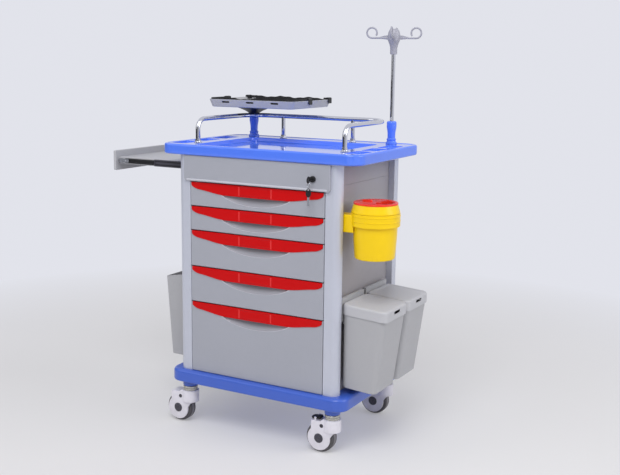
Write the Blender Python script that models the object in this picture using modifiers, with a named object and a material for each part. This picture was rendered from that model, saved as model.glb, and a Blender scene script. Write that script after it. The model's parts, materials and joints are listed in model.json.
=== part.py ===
"""Instrument cart: a five-drawer hospital trolley with casters, side bins and top equipment.

Metres, +Z up. The drawers face -Y. The cabinet is modelled about its own centre line, and the
empty cart_origin moves it so that the whole object's box is centred on the origin, on the floor.
"""

import math

import bmesh
import bpy
from mathutils import Matrix, Vector

# Driving dimensions, taken from the photograph and the usual sizes of such a cart.
# Clearances: between fixed pieces, round a turning piece, and a cutter's run past a wall.
GAP = 0.0003
FIT = 0.00006
OVERRUN = 0.010
SHEET = 0.003

# Cabinet and columns.
CABINET_WIDTH = 0.611
CABINET_DEPTH = 0.460
COLUMN_SIZE = 0.050
COLUMN_FRONT_DEPTH = 0.029
COLUMN_WALL = 0.003
COLUMN_ROUND = 0.025
COLUMN_EDGE = 0.002
SIDE_RECESS = 0.0225
DECK_DROP = 0.010
DECK_LEDGE = 0.012
SIDE_SEAM_RISE = 0.016
STILE_INSET = 0.0005
STILE_LAP = 0.015
SEAM_WIDTH = 0.0016
SEAM_DEPTH = 0.0012

# Base moulding.
BASE_OVERHANG_X = 0.0345
BASE_OVERHANG_Y = 0.020
BASE_BOTTOM = 0.155
BASE_HEIGHT = 0.043
BASE_WALL = 0.005
BASE_CORNER = 0.045
BASE_EDGE = 0.008
BOSS_RADIUS = 0.026
BOSS_DROP = 0.032
BORE_DEPTH = 0.020

# Drawers, from the top one down, and the fascia over them.
DRAWER_UNIT = 0.0821
DRAWER_UNITS = (1.0, 1.0, 1.5, 1.5, 3.0)
FRONT_THICKNESS = 0.020
FRONT_GAP = 0.0015
FRONT_EDGE = 0.002
DRAWER_DEPTH = 0.380
DRAWER_WALL = 0.002
DRAWER_FLOOR_RISE = 0.012
DRAWER_RIM_DROP = 0.020
RUNNER_DROP = 0.034
RUNNER_REACH = 0.0125
RUNNER_GAP = 0.003
FLANGE_SETBACK = 0.030
HANDLE_DROP = 0.037
HANDLE_THICKNESS = 0.006
HANDLE_PROUD = 0.002
HANDLE_EDGE = 0.001
HANDLE_TIP = 0.985
HANDLE_WING_FROM = 0.45
HANDLE_WING_TO = 0.95
HANDLE_WING_FALL = 0.37
HANDLE_BOW = 0.05
HANDLE_TIP_LENGTH = 0.14
WINDOW_HALF_WIDTH = 0.061
WINDOW_MARGIN = 0.005
WINDOW_DEPTH = 0.0008
SCOOP_DROP = 0.067
SCOOP_HALF_WIDTH = 0.145
SCOOP_DEPTH = 0.014
FASCIA_HEIGHT = 0.088
FASCIA_PROUD = 0.008
FASCIA_LAP = 0.020
FASCIA_CORNER = 0.010
FASCIA_EDGE = 0.002
BEAD_RADIUS = 0.0045
BEAD_SINK = 0.0027

# Worktop.
WORKTOP_OVERHANG_X = 0.0695
WORKTOP_OVERHANG_Y = 0.014
WORKTOP_HEIGHT = 0.035
WORKTOP_CORNER = 0.050
WORKTOP_EDGE = 0.008
LIP_HEIGHT = 0.0015
LIP_WIDTH = 0.012
RECESS_DEPTH = 0.026
RECESS_CORNER = 0.030
RECESS_FRONT_MARGIN = 0.015
RECESS_RAIL_MARGIN = 0.024
RECESS_BACK_MARGIN = 0.022
WORKTOP_SKIN = 0.004
HOLLOW_MARGIN = 0.015
POCKET_LENGTH = 0.100
POCKET_PITCH = 0.120
POCKET_DEPTH = 0.007
POCKET_CORNER = 0.012
POCKET_RAIL_MARGIN = 0.020
POCKET_LIP_MARGIN = 0.008
POCKET_SHIFT = -0.030
POLE_CLEARANCE = 0.002

# Casters.
WHEEL_DIAMETER = 0.100
WHEEL_WIDTH = 0.032
WHEEL_STEPS = 28
TYRE_SHOULDER = 0.006
CASTER_LABELS = ("front_left", "front_right", "back_left", "back_right")
BRAKED_CASTERS = ("front_right", "back_left")
CASTER_TRAIL = 0.038
CASTER_INSET_X = 0.0595
CASTER_INSET_Y = 0.045
STEM_RADIUS = 0.006
STEM_REACH = 0.012
ROUND_STEPS = 20
PIN_RADIUS = 0.005
CAP_RADIUS = 0.016
CAP_PROUD = 0.0015
CHEEK_RADIUS = 0.043
CHEEK_ARC = (135, 375)
CHEEK_THICKNESS = 0.0055
WHEEL_SIDE_GAP = 0.0015
WHEEL_TOP_GAP = 0.003
CASTER_CROWN = 0.108
CASTER_HEEL = 0.036
HEEL_ROUND = 0.010
HEEL_RISE = 0.034
HEEL_FOOT_INSET = 0.012
HEEL_FOOT_RISE = 0.022
THROAT_REACH = 0.050
THROAT_RISE = 0.016
BROW_REACH = 0.028
SWIVEL_RING_RADIUS = 0.025
SWIVEL_RING_EDGE = 0.002
PEDAL_LENGTH = 0.036
PEDAL_WIDTH = 0.026
PEDAL_THICKNESS = 0.006
PEDAL_SETBACK = 0.016
PEDAL_LIFT = 0.0062
PEDAL_TILT = math.radians(-8)
PEDAL_PIN_RADIUS = 0.0018
PEDAL_EAR = 0.0035
PEDAL_SIDE_GAP = 0.0008

# Guard rail, drip pole and device platform.
RAIL_RADIUS = 0.008
RAIL_RISE = 0.0795
RAIL_INSET_X = 0.096
RAIL_INSET_FRONT = 0.094
RAIL_INSET_BACK = 0.059
RAIL_FRONT_BEND = 0.035
RAIL_BACK_BEND = 0.080
RAIL_POST_X = 0.140
RAIL_POST_RADIUS = 0.0072
RAIL_FOOT_RISE = 0.002
FLARE_RADIUS = 0.014
FLARE_NECK = 0.009
FLARE_HEIGHT = 0.010
POST_INSET_X = 0.0275
POST_INSET_Y = 0.025
POLE_RADIUS = 0.007
POLE_LENGTH = 0.670
POLE_EXPOSED = 0.2245
SLEEVE_HEIGHT = 0.078
SLEEVE_RADIUS = 0.017
SLEEVE_WAIST = 0.0135
SLEEVE_FLANGE = 0.0195
SLEEVE_BROW = 0.005
SLEEVE_BULB = 0.020
SLEEVE_TAPER = 0.016
FLANGE_RISE = 0.014
FLANGE_HEIGHT = 0.005
HEAD_HEIGHT = 0.085
HEAD_SOCKET = 0.030
HEAD_RADIUS = 0.021
HEAD_NECK = 0.012
HEAD_NECK_RISE = 0.018
HEAD_CROWN = ((0.01365, 0.001), (0.0189, 0.006))
KNUCKLE_RISE = 0.052
KNUCKLE_ABOVE = 0.008
KNUCKLE_BELOW = 0.004
HOOK_WIRE = 0.003
HOOK_REACH = 0.075
HOOK_STRAIGHT = 0.045
HOOK_ARC = (-90, 215)
HOOK_CURL = 0.017
HOOK_LIFT = 0.002
HOOK_TURN = math.radians(17.7)
TRAY_WIDTH = 0.350
TRAY_DEPTH = 0.290
TRAY_HEIGHT = 0.027
TRAY_LIFT = 0.035
TRAY_OFFSET_X = 0.0955
TRAY_OFFSET_Y = -0.040
TRAY_FLARE = 0.008
TRAY_WALL = 0.003
TRAY_CORNER = 0.020
TRAY_SLOT_LENGTH = 0.032
TRAY_SLOT_HEIGHT = 0.006
TRAY_SLOT_PITCH = 0.100
TRAY_SLOT_RISE = 0.015
CONE_RADIUS = 0.058
CONE_NECK = 0.024
CONE_FOOT = 0.016
CONE_RIM = 0.004
CONE_NECK_HEIGHT = 0.014
PIVOT_REACH = 0.090
STRAP_THICKNESS = 0.0022
STRAP_PROUD = 0.0045
STRAP_WAVE = 0.0035
STRAP_WAVES = 2.5
STRAP_END_GAP = 0.018

# Pull-out shelf.
SHELF_PULL = 0.354
SHELF_SIDE_GAP = 0.015
SHELF_LENGTH = 0.420
SHELF_THICKNESS = 0.024
SHELF_RISE = 0.041
SHELF_END_THICKNESS = 0.025
SHELF_END_HEIGHT = 0.070
SHELF_END_CORNER = 0.008
SHELF_END_EDGE = 0.003
SLIDE_WIDTH = 0.008
TRACK_WIDTH = 0.009
TRACK_LENGTH = 0.436
TRACK_SETBACK = 0.002
SLIDE_SETBACK = 0.020

# Waste bins on the right, document box on the left.
BIN_STANDOFF = 0.017
BIN_TOP_DEPTH = 0.155
BIN_BOTTOM_DEPTH = 0.120
BIN_SETBACK = 0.035
BIN_LENGTH = 0.172
BIN_SPACING = 0.004
BIN_RISE = 0.024
BIN_HEIGHT = 0.2435
BIN_SLOPE = 0.07
BIN_DRAFT = 0.008
BIN_CORNER = 0.020
BIN_FOOT = 0.004
BIN_WALL = 0.0025
LID_HEIGHT = 0.035
LID_BROW = 0.004
LID_SIDE_GAP = 0.001
NOTCH_LENGTH = 0.044
NOTCH_HEIGHT = 0.010
NOTCH_RISE = 0.016
NOTCH_DEPTH = 0.0015
HANGER_SETBACK = 0.030
HANGER_DROP = 0.012
HANGER_HEIGHT = 0.028
HINGE_STRIP = 0.010
HINGE_STRIP_RISE = 0.014
HINGE_STRIP_SETBACK = 0.006
BOX_TOP_DEPTH = 0.140
BOX_BOTTOM_DEPTH = 0.120
BOX_LENGTH = 0.260
BOX_RISE = 0.006
BOX_HEIGHT = 0.312
BOX_DRAFT = 0.006
BOX_CORNER = 0.008
BOX_FOOT = 0.003
BOX_SLOPE = 0.028
BOX_HANGER_LENGTH = 0.120
BOX_HANGER_HEIGHT = 0.040
BOX_HANGER_DROP = 0.020

# Sharps pot.
SHARPS_STANDOFF = 0.081
SHARPS_SETBACK = 0.090
SHARPS_BOTTOM = 0.6475
SHARPS_HEIGHT = 0.1725
SHARPS_RIM_RADIUS = 0.070
SHARPS_COLLAR_RADIUS = 0.0765
SHARPS_LIP = 0.003
SHARPS_LIP_EDGE = 0.001
SHARPS_LEDGE = 0.006
SHARPS_FOOT_RADIUS = 0.064
SHARPS_NECK_RADIUS = 0.0705
SHARPS_FOOT_ROUND = 0.004
SHARPS_RIM_HEIGHT = 0.027
SHARPS_STEPS = 28
SHARPS_LID_RISE = 0.006
SHARPS_LID_EDGE = 0.002
SHARPS_PLUG = 0.006
MOUTH_RADIUS = 0.044
MOUTH_INNER_RADIUS = 0.012
MOUTH_SHIFT = 0.012
BRACKET_HEIGHT = 0.041
BRACKET_WALL = 0.0068
BRACKET_ARM_WIDTH = 0.050
BRACKET_ARM_DROP = 0.022
BRACKET_ARM_SETBACK = 0.006

# Lock and key.
LOCK_INSET = 0.040
LOCK_DROP = 0.048
LOCK_RADIUS = 0.010
LOCK_PROUD = 0.006
LOCK_LENGTH = 0.040
LOCK_EDGE = 0.001
KEY_BOW_RADIUS = 0.011
KEY_BOW_THICKNESS = 0.003
KEY_STANDOFF = 0.028
KEY_BLADE_RADIUS = 0.003
KEY_BLADE_REACH = 0.012
KEY_HOLE_RADIUS = 0.003
KEY_HOLE_DROP = 0.006

# Values worked out from the driving dimensions.
HALF_WIDTH = CABINET_WIDTH / 2
HALF_DEPTH = CABINET_DEPTH / 2
FRONT_Y = -HALF_DEPTH
BASE_HALF_X = HALF_WIDTH + BASE_OVERHANG_X
BASE_HALF_Y = HALF_DEPTH + BASE_OVERHANG_Y
TOP_HALF_X = HALF_WIDTH + WORKTOP_OVERHANG_X
TOP_HALF_Y = HALF_DEPTH + WORKTOP_OVERHANG_Y
OPENING_HALF = HALF_WIDTH - COLUMN_SIZE
SIDE_X = HALF_WIDTH - SIDE_RECESS
SIDE_INNER_Y = HALF_DEPTH - COLUMN_SIZE
SIDE_FRONT_Y = COLUMN_FRONT_DEPTH - HALF_DEPTH
STACK_BOTTOM = BASE_BOTTOM + BASE_HEIGHT
STACK_TOP = STACK_BOTTOM + DRAWER_UNIT * sum(DRAWER_UNITS)
DECK_Z = STACK_TOP - DECK_DROP
TOP_BOTTOM = STACK_TOP + FASCIA_HEIGHT
TOP_LIP = TOP_BOTTOM + WORKTOP_HEIGHT
PLATEAU = TOP_LIP - LIP_HEIGHT
RECESS_FLOOR = TOP_LIP - RECESS_DEPTH
RAIL_HALF_WIDTH = TOP_HALF_X - RAIL_INSET_X
RAIL_FRONT = RAIL_INSET_FRONT - TOP_HALF_Y
RAIL_BACK = TOP_HALF_Y - RAIL_INSET_BACK
RAIL_Z = PLATEAU + RAIL_RISE
POST_X = HALF_WIDTH - POST_INSET_X
POST_Y = HALF_DEPTH - POST_INSET_Y
SLEEVE_TOP = PLATEAU + SLEEVE_HEIGHT
HEAD_BOTTOM = SLEEVE_TOP + POLE_EXPOSED
TRAY_FLOOR = SLEEVE_TOP + TRAY_LIFT
AXLE_Z = WHEEL_DIAMETER / 2 * math.cos(math.pi / WHEEL_STEPS)
BOSS_BOTTOM = BASE_BOTTOM - BOSS_DROP
CASTER_X = BASE_HALF_X - CASTER_INSET_X
CASTER_Y = BASE_HALF_Y - CASTER_INSET_Y
PEDAL_Z = CASTER_CROWN + PEDAL_LIFT
SHELF_END_X = -SIDE_X - SHELF_PULL
SHELF_HALF_DEPTH = SIDE_INNER_Y - SHELF_SIDE_GAP
SHELF_MIDDLE_Z = STACK_TOP + SHELF_RISE
RUNNER_INNER = OPENING_HALF - RUNNER_REACH
FASCIA_FRONT = FRONT_Y - FASCIA_PROUD
BIN_INNER = SIDE_X + BIN_STANDOFF
BIN_TOP_REACH = BIN_INNER + BIN_TOP_DEPTH
BIN_BOTTOM_REACH = BIN_INNER + BIN_BOTTOM_DEPTH
BIN_FRONT = FRONT_Y + BIN_SETBACK
BIN_PITCH = BIN_LENGTH + BIN_SPACING
BIN_BOTTOM = STACK_BOTTOM + BIN_RISE
BOX_TOP_REACH = BIN_INNER + BOX_TOP_DEPTH
BOX_BOTTOM_REACH = BIN_INNER + BOX_BOTTOM_DEPTH
BOX_BOTTOM = STACK_BOTTOM + BOX_RISE
SHARPS_X = HALF_WIDTH + SHARPS_STANDOFF
SHARPS_Y = FRONT_Y + SHARPS_SETBACK
LOCK_X = OPENING_HALF - LOCK_INSET
LOCK_Z = TOP_BOTTOM - LOCK_DROP
KEY_BOW_Y = FASCIA_FRONT - KEY_STANDOFF
KEY_FRONT = KEY_BOW_Y - KEY_BOW_RADIUS
TRAY_BACK = POST_Y + TRAY_OFFSET_Y + TRAY_DEPTH / 2
BRACKET_HOLD = SHARPS_NECK_RADIUS + GAP
BRACKET_RADIUS = BRACKET_HOLD + BRACKET_WALL
CENTRE_X = (SHELF_END_X + SHARPS_X + BRACKET_RADIUS) / 2
CENTRE_Y = (KEY_FRONT + TRAY_BACK) / 2

COLOURS = {
    "worktop_blue": ((0.10, 0.22, 0.90), 0.35, 0.0),
    "base_blue": ((0.06, 0.15, 0.68), 0.40, 0.0),
    "column_silver": ((0.55, 0.57, 0.65), 0.35, 0.6),
    "panel_grey": ((0.30, 0.28, 0.30), 0.50, 0.0),
    "front_grey": ((0.36, 0.37, 0.42), 0.40, 0.0),
    "box_grey": ((0.50, 0.51, 0.53), 0.50, 0.0),
    "handle_red": ((0.63, 0.01, 0.01), 0.25, 0.0),
    "chrome": ((0.80, 0.80, 0.82), 0.12, 1.0),
    "caster_white": ((0.80, 0.78, 0.85), 0.35, 0.0),
    "tyre_grey": ((0.15, 0.15, 0.17), 0.80, 0.0),
    "black_plastic": ((0.02, 0.02, 0.02), 0.45, 0.0),
    "head_grey": ((0.35, 0.35, 0.40), 0.45, 0.0),
    "tray_grey": ((0.60, 0.60, 0.63), 0.45, 0.0),
    "bin_grey": ((0.42, 0.42, 0.43), 0.50, 0.0),
    "sharps_yellow": ((0.90, 0.62, 0.02), 0.35, 0.0),
    "lid_red": ((0.75, 0.02, 0.02), 0.35, 0.0),
}

for old in list(bpy.data.objects):
    bpy.data.objects.remove(old, do_unlink=True)

SCENE = bpy.context.scene
PARTS = bpy.data.collections.new("instrument_cart")
CUTTERS = bpy.data.collections.new("cutters")
SCENE.collection.children.link(PARTS)
SCENE.collection.children.link(CUTTERS)


def empty(name, at=(0, 0, 0), parent=None):
    """An empty that carries the pieces of one assembly."""
    holder = bpy.data.objects.new(name, None)
    holder.location = at
    holder.parent = parent
    PARTS.objects.link(holder)
    return holder


ROOT = empty("cart_origin", (-CENTRE_X, -CENTRE_Y, 0))


def material(name):
    """The named Principled material, made on first use."""
    if name in bpy.data.materials:
        return bpy.data.materials[name]
    colour, roughness, metallic = COLOURS[name]
    made = bpy.data.materials.new(name)
    made.use_nodes = True
    shader = made.node_tree.nodes["Principled BSDF"]
    shader.inputs["Base Color"].default_value = (*colour, 1)
    shader.inputs["Roughness"].default_value = roughness
    shader.inputs["Metallic"].default_value = metallic
    return made


def add(name, mesh, look=None, at=(0, 0, 0), parent=ROOT):
    """Puts a mesh in the scene: a part where it has a look, and otherwise a cutter."""
    made = bpy.data.objects.new(name, mesh)
    made.location = at
    made.parent = parent
    if look:
        mesh.materials.append(material(look))
        PARTS.objects.link(made)
        return made
    made.hide_render = True
    made.display_type = "WIRE"
    CUTTERS.objects.link(made)
    return made


def boolean(target, tools, operation):
    """Cuts each tool from the target, or joins it on, with a live modifier."""
    for tool in tools:
        modifier = target.modifiers.new(tool.name, "BOOLEAN")
        modifier.operation = operation
        modifier.object = tool
        modifier.solver = "EXACT"


def cut(target, *tools):
    boolean(target, tools, "DIFFERENCE")


def join(target, *tools):
    boolean(target, tools, "UNION")


def bevelled(target, width, segments=2, angle=40):
    """Rounds the edges of a part that are sharper than the angle."""
    modifier = target.modifiers.new("rounded", "BEVEL")
    modifier.width = width
    modifier.segments = segments
    modifier.limit_method = "ANGLE"
    modifier.angle_limit = math.radians(angle)
    return target


def welded(target):
    """Merges the points that Booleans leave a hair apart along a round edge."""
    modifier = target.modifiers.new("welded", "WELD")
    modifier.merge_threshold = FIT / 4
    return target


def finish_mesh(name, bm):
    """Turns a bmesh into a mesh shaded smooth across shallow edges."""
    bmesh.ops.recalc_face_normals(bm, faces=bm.faces)
    mesh = bpy.data.meshes.new(name)
    bm.to_mesh(mesh)
    bm.free()
    mesh.shade_smooth()
    mesh.set_sharp_from_angle(angle=math.radians(35))
    return mesh


def box(name, low, high, look=None, at=(0, 0, 0), parent=ROOT):
    """A box between two corners, given relative to the object's own origin."""
    low, high = Vector(low), Vector(high)
    bm = bmesh.new()
    bmesh.ops.create_cube(bm, size=1)
    bmesh.ops.scale(bm, vec=high - low, verts=bm.verts)
    bmesh.ops.translate(bm, vec=(low + high) / 2, verts=bm.verts)
    return add(name, finish_mesh(name, bm), look, at, parent)


def tapered(name, low, high, spread, corner, look=None, parent=ROOT, foot=0, brow=0):
    """A box whose top is wider by (left, right, front, back), with round uprights, foot and brow."""
    low, high = Vector(low), Vector(high)
    left, right, front, back = spread
    bm = bmesh.new()
    bmesh.ops.create_cube(bm, size=1)
    bmesh.ops.scale(bm, vec=high - low, verts=bm.verts)
    bmesh.ops.translate(bm, vec=(low + high) / 2, verts=bm.verts)
    uprights = [e for e in bm.edges if abs(e.verts[0].co.z - e.verts[1].co.z) > 1e-6]
    middle = (low + high) / 2
    for vert in bm.verts:
        if vert.co.z > middle.z:
            vert.co.x += right if vert.co.x > middle.x else -left
            vert.co.y += back if vert.co.y > middle.y else -front
    bmesh.ops.bevel(bm, geom=uprights, offset=corner, segments=3, profile=0.5, affect="EDGES")
    for level, offset in ((low.z, foot), (high.z, brow)):
        if offset:
            ring = [e for e in bm.edges if all(abs(vert.co.z - level) < 1e-6 for vert in e.verts)]
            bmesh.ops.bevel(bm, geom=ring, offset=offset, segments=2, profile=0.5, affect="EDGES")
    return add(name, finish_mesh(name, bm), look, parent=parent)


def mesh_of(curve_object):
    """The welded mesh of a curve, which is then removed."""
    bpy.context.view_layer.update()
    graph = bpy.context.evaluated_depsgraph_get()
    mesh = bpy.data.meshes.new_from_object(curve_object.evaluated_get(graph))
    bpy.data.objects.remove(curve_object, do_unlink=True)
    bm = bmesh.new()
    bm.from_mesh(mesh)
    bmesh.ops.remove_doubles(bm, verts=bm.verts, dist=1e-6)
    bpy.data.meshes.remove(mesh)
    return bm


PLANES = {
    "XY": Matrix.Identity(4),
    "XZ": Matrix(((1, 0, 0, 0), (0, 0, -1, 0), (0, 1, 0, 0), (0, 0, 0, 1))),
    "YZ": Matrix(((0, 0, 1, 0), (1, 0, 0, 0), (0, 1, 0, 0), (0, 0, 0, 1))),
}


def plate(name, outlines, plane, span, look=None, at=(0, 0, 0), parent=ROOT):
    """Closed outlines in a plane, the later ones holes, drawn out over a span of the third axis."""
    curve = bpy.data.curves.new(name, "CURVE")
    curve.dimensions = "2D"
    curve.fill_mode = "BOTH"
    curve.extrude = (span[1] - span[0]) / 2
    for outline in outlines:
        spline = curve.splines.new("POLY")
        spline.points.add(len(outline) - 1)
        for point, (u, v) in zip(spline.points, outline):
            point.co = (u, v, 0, 1)
        spline.use_cyclic_u = True
    flat = bpy.data.objects.new(name, curve)
    SCENE.collection.objects.link(flat)
    bm = mesh_of(flat)
    bm.transform(PLANES[plane])
    shift = {"XY": (0, 0, 1), "XZ": (0, 1, 0), "YZ": (1, 0, 0)}[plane]
    bmesh.ops.translate(bm, vec=Vector(shift) * (span[0] + span[1]) / 2, verts=bm.verts)
    return add(name, finish_mesh(name, bm), look, at, parent)


def arc(centre, radius, start, end, steps):
    """Points of an arc, with its ends, in degrees."""
    points = []
    for step in range(steps + 1):
        angle = math.radians(start + (end - start) * step / steps)
        points.append((centre[0] + radius * math.cos(angle), centre[1] + radius * math.sin(angle)))
    return points


def rounded_rectangle(low, high, radii, steps=4):
    """An outline whose corner radii start at the low corner and run anticlockwise."""
    if isinstance(radii, float):
        radii = (radii,) * 4
    corners = (
        (low[0], low[1], 1, 1),
        (high[0], low[1], -1, 1),
        (high[0], high[1], -1, -1),
        (low[0], high[1], 1, -1),
    )
    outline = []
    for number, (x, y, toward_x, toward_y) in enumerate(corners):
        radius = radii[number]
        if radius <= 0:
            outline.append((x, y))
            continue
        centre = (x + toward_x * radius, y + toward_y * radius)
        outline += arc(centre, radius, 180 + 90 * number, 270 + 90 * number, steps)
    return outline


TURNS = {"Z": (0, 0, 0), "X": (0, math.pi / 2, 0), "Y": (-math.pi / 2, 0, 0)}


def turned(name, profile, look=None, at=(0, 0, 0), parent=ROOT, steps=ROUND_STEPS, closed=False, axis="Z"):
    """A profile of (radius, height) points, listed down its outer side, turned about an axis."""
    bm = bmesh.new()
    verts = [bm.verts.new((radius, 0, height)) for radius, height in profile]
    for first, second in zip(verts, verts[1:]):
        bm.edges.new((first, second))
    if closed:
        bm.edges.new((verts[-1], verts[0]))
    mesh = bpy.data.meshes.new(name)
    bm.to_mesh(mesh)
    bm.free()
    made = add(name, mesh, look, at, parent)
    made.rotation_euler = TURNS[axis]
    screw = made.modifiers.new("turned", "SCREW")
    screw.steps = steps
    screw.render_steps = steps
    screw.use_merge_vertices = True
    screw.merge_threshold = 0.00001
    screw.use_smooth_shade = True
    return made


def rod(name, radius, low, high, look=None, at=(0, 0, 0), parent=ROOT, steps=ROUND_STEPS, axis="Z"):
    """A plain cylinder between two heights on an axis."""
    profile = [(0, high), (radius, high), (radius, low), (0, low)]
    return turned(name, profile, look, at, parent, steps, False, axis)


def running_bore(radius):
    """The radius of a faceted bore whose flats clear the corners of a post that turns in it."""
    return (radius + FIT) / math.cos(math.pi / ROUND_STEPS)


def tube(name, points, radius, look=None, at=(0, 0, 0), parent=ROOT, sides=3):
    """A round bar along a route, as a mesh."""
    curve = bpy.data.curves.new(name, "CURVE")
    curve.dimensions = "3D"
    curve.bevel_depth = radius
    curve.bevel_resolution = sides
    curve.use_fill_caps = True
    spline = curve.splines.new("POLY")
    spline.points.add(len(points) - 1)
    for point, place in zip(spline.points, points):
        point.co = (*place, 1)
    route = bpy.data.objects.new(name, curve)
    SCENE.collection.objects.link(route)
    return add(name, finish_mesh(name, mesh_of(route)), look, at, parent)


def rounded_route(corners, radii, steps=5):
    """A route through corners in space, each inner corner rounded to its radius."""
    corners = [Vector(corner) for corner in corners]
    route = [corners[0]]
    for before, corner, after, radius in zip(corners, corners[1:], corners[2:], radii):
        back = (before - corner).normalized()
        ahead = (after - corner).normalized()
        half = back.angle(ahead) / 2
        centre = corner + (back + ahead).normalized() * radius / math.sin(half)
        start = (corner + back * radius / math.tan(half) - centre).normalized()
        end = (corner + ahead * radius / math.tan(half) - centre).normalized()
        route += [centre + start.slerp(end, step / steps) * radius for step in range(steps + 1)]
    return route + [corners[-1]]


def make_base():
    """A hollow base moulding on four bosses, each with a bore for a caster stem."""
    outline = rounded_rectangle((-BASE_HALF_X, -BASE_HALF_Y), (BASE_HALF_X, BASE_HALF_Y), BASE_CORNER)
    inner_x, inner_y = BASE_HALF_X - BASE_WALL, BASE_HALF_Y - BASE_WALL
    inner = rounded_rectangle((-inner_x, -inner_y), (inner_x, inner_y), BASE_CORNER - BASE_WALL)
    ceiling = STACK_BOTTOM - BASE_WALL
    base = plate("base_tray", [outline], "XY", (BASE_BOTTOM, STACK_BOTTOM), "base_blue")
    bevelled(base, BASE_EDGE, 2, 60)
    cut(base, plate("base_hollow", [inner], "XY", (BASE_BOTTOM - OVERRUN, ceiling)))
    for number, (x, y) in enumerate(caster_places()):
        span = (BOSS_BOTTOM, ceiling + BASE_WALL / 2)
        join(base, rod(f"base_boss_{number}", BOSS_RADIUS, *span, at=(x, y, 0)))
    for number, (x, y) in enumerate(caster_places()):
        span = (BOSS_BOTTOM - OVERRUN, BASE_BOTTOM + BORE_DEPTH)
        cut(base, rod(f"base_bore_{number}", running_bore(STEM_RADIUS), *span, at=(x, y, 0)))


def caster_places():
    """The stems' places: front left, front right, back left, back right."""
    return [(x, y) for y in (-CASTER_Y, CASTER_Y) for x in (-CASTER_X, CASTER_X)]


def caster_outline(axle):
    """The cover's outline: a round cheek about the axle that runs into a crown and a short heel."""
    outline = arc(axle, CHEEK_RADIUS, *CHEEK_ARC, 12)
    outline.append((axle[0] + THROAT_REACH, axle[1] + THROAT_RISE))
    outline.append((CASTER_HEEL - HEEL_FOOT_INSET, axle[1] + HEEL_FOOT_RISE))
    outline.append((CASTER_HEEL, axle[1] + HEEL_RISE))
    outline += arc((CASTER_HEEL - HEEL_ROUND, CASTER_CROWN - HEEL_ROUND), HEEL_ROUND, 0, 90, 3)
    outline.append((axle[0] - BROW_REACH, CASTER_CROWN))
    return outline


def make_caster(label, place, braked):
    """A full-cover swivel caster: housing with stem and axle, wheel, and a rocker brake if it has one."""
    stem = empty(f"caster_{label}", (*place, 0), ROOT)
    axle = (-CASTER_TRAIL, AXLE_Z)
    axle_at = (axle[0], 0, axle[1])
    hollow_half = WHEEL_WIDTH / 2 + WHEEL_SIDE_GAP
    cover_half = hollow_half + CHEEK_THICKNESS
    housing = plate(
        f"caster_{label}_housing",
        [caster_outline(axle)],
        "XZ",
        (-cover_half, cover_half),
        "caster_white",
        parent=stem,
    )
    hollow_radius = WHEEL_DIAMETER / 2 + WHEEL_TOP_GAP
    hollow = rod(
        f"caster_{label}_hollow",
        hollow_radius,
        -hollow_half,
        hollow_half,
        at=axle_at,
        parent=stem,
        axis="Y",
    )
    cut(housing, hollow)
    ring_top = BOSS_BOTTOM - GAP
    foot = CASTER_CROWN - SHEET
    head = [(0, BASE_BOTTOM + STEM_REACH), (STEM_RADIUS, BASE_BOTTOM + STEM_REACH), (STEM_RADIUS, ring_top)]
    head.append((SWIVEL_RING_RADIUS - SWIVEL_RING_EDGE, ring_top))
    head.append((SWIVEL_RING_RADIUS, ring_top - SWIVEL_RING_EDGE))
    head += [(SWIVEL_RING_RADIUS, foot), (0, foot)]
    join(housing, turned(f"caster_{label}_head", head, parent=stem))
    cap_out, cap_in = cover_half + CAP_PROUD, cover_half - CHEEK_THICKNESS / 2
    spool = [(0, cap_out), (CAP_RADIUS, cap_out), (CAP_RADIUS, cap_in), (PIN_RADIUS, cap_in)]
    spool += [(radius, -height) for radius, height in reversed(spool)]
    join(housing, turned(f"caster_{label}_axle", spool, at=axle_at, parent=stem, steps=12, axis="Y"))
    make_wheel(label, stem, axle_at)
    if braked:
        make_pedal(label, stem, housing, (axle[0] - PEDAL_SETBACK, 0, PEDAL_Z))
    welded(housing)


def make_wheel(label, stem, axle_at):
    """A wheel with a round-shouldered tyre, turned about its axle, with a flat at the floor."""
    radius, half = WHEEL_DIAMETER / 2, WHEEL_WIDTH / 2
    bore = PIN_RADIUS + FIT
    profile = [(radius - TYRE_SHOULDER, half), (radius, half - TYRE_SHOULDER)]
    profile += [(radius, TYRE_SHOULDER - half), (radius - TYRE_SHOULDER, -half), (bore, -half), (bore, half)]
    name = f"caster_{label}_wheel"
    wheel = turned(name, profile, "tyre_grey", axle_at, stem, WHEEL_STEPS, True, "Y")
    wheel.rotation_euler = (-math.pi / 2, math.pi / WHEEL_STEPS, 0)


def make_pedal(label, stem, housing, pivot):
    """A rocker pedal on a pin between two ears of the housing, with the pin's axis at its origin."""
    half = Vector((PEDAL_LENGTH, PEDAL_WIDTH, PEDAL_THICKNESS)) / 2
    pedal = box(f"caster_{label}_pedal", -half, half, "black_plastic", pivot, stem)
    pedal.rotation_euler = (0, PEDAL_TILT, 0)
    bevelled(pedal, PEDAL_THICKNESS / 4)
    bore = PEDAL_PIN_RADIUS + FIT
    span = (-PEDAL_WIDTH, PEDAL_WIDTH)
    cut(pedal, rod(f"caster_{label}_pedal_bore", bore, *span, at=pivot, parent=stem, steps=16, axis="Y"))
    inner = PEDAL_WIDTH / 2 + PEDAL_SIDE_GAP
    foot = -PEDAL_LIFT - PEDAL_EAR
    for side in (-1, 1):
        low_y, high_y = sorted((side * inner, side * (inner + PEDAL_EAR)))
        low, high = (-PEDAL_EAR, low_y, foot), (PEDAL_EAR, high_y, PEDAL_EAR)
        join(housing, box(f"caster_{label}_ear_{side}", low, high, at=pivot, parent=stem))
    span = (-inner - PEDAL_EAR / 2, inner + PEDAL_EAR / 2)
    pin_name = f"caster_{label}_pedal_pin"
    join(housing, rod(pin_name, PEDAL_PIN_RADIUS, *span, at=pivot, parent=stem, steps=16, axis="Y"))


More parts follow.
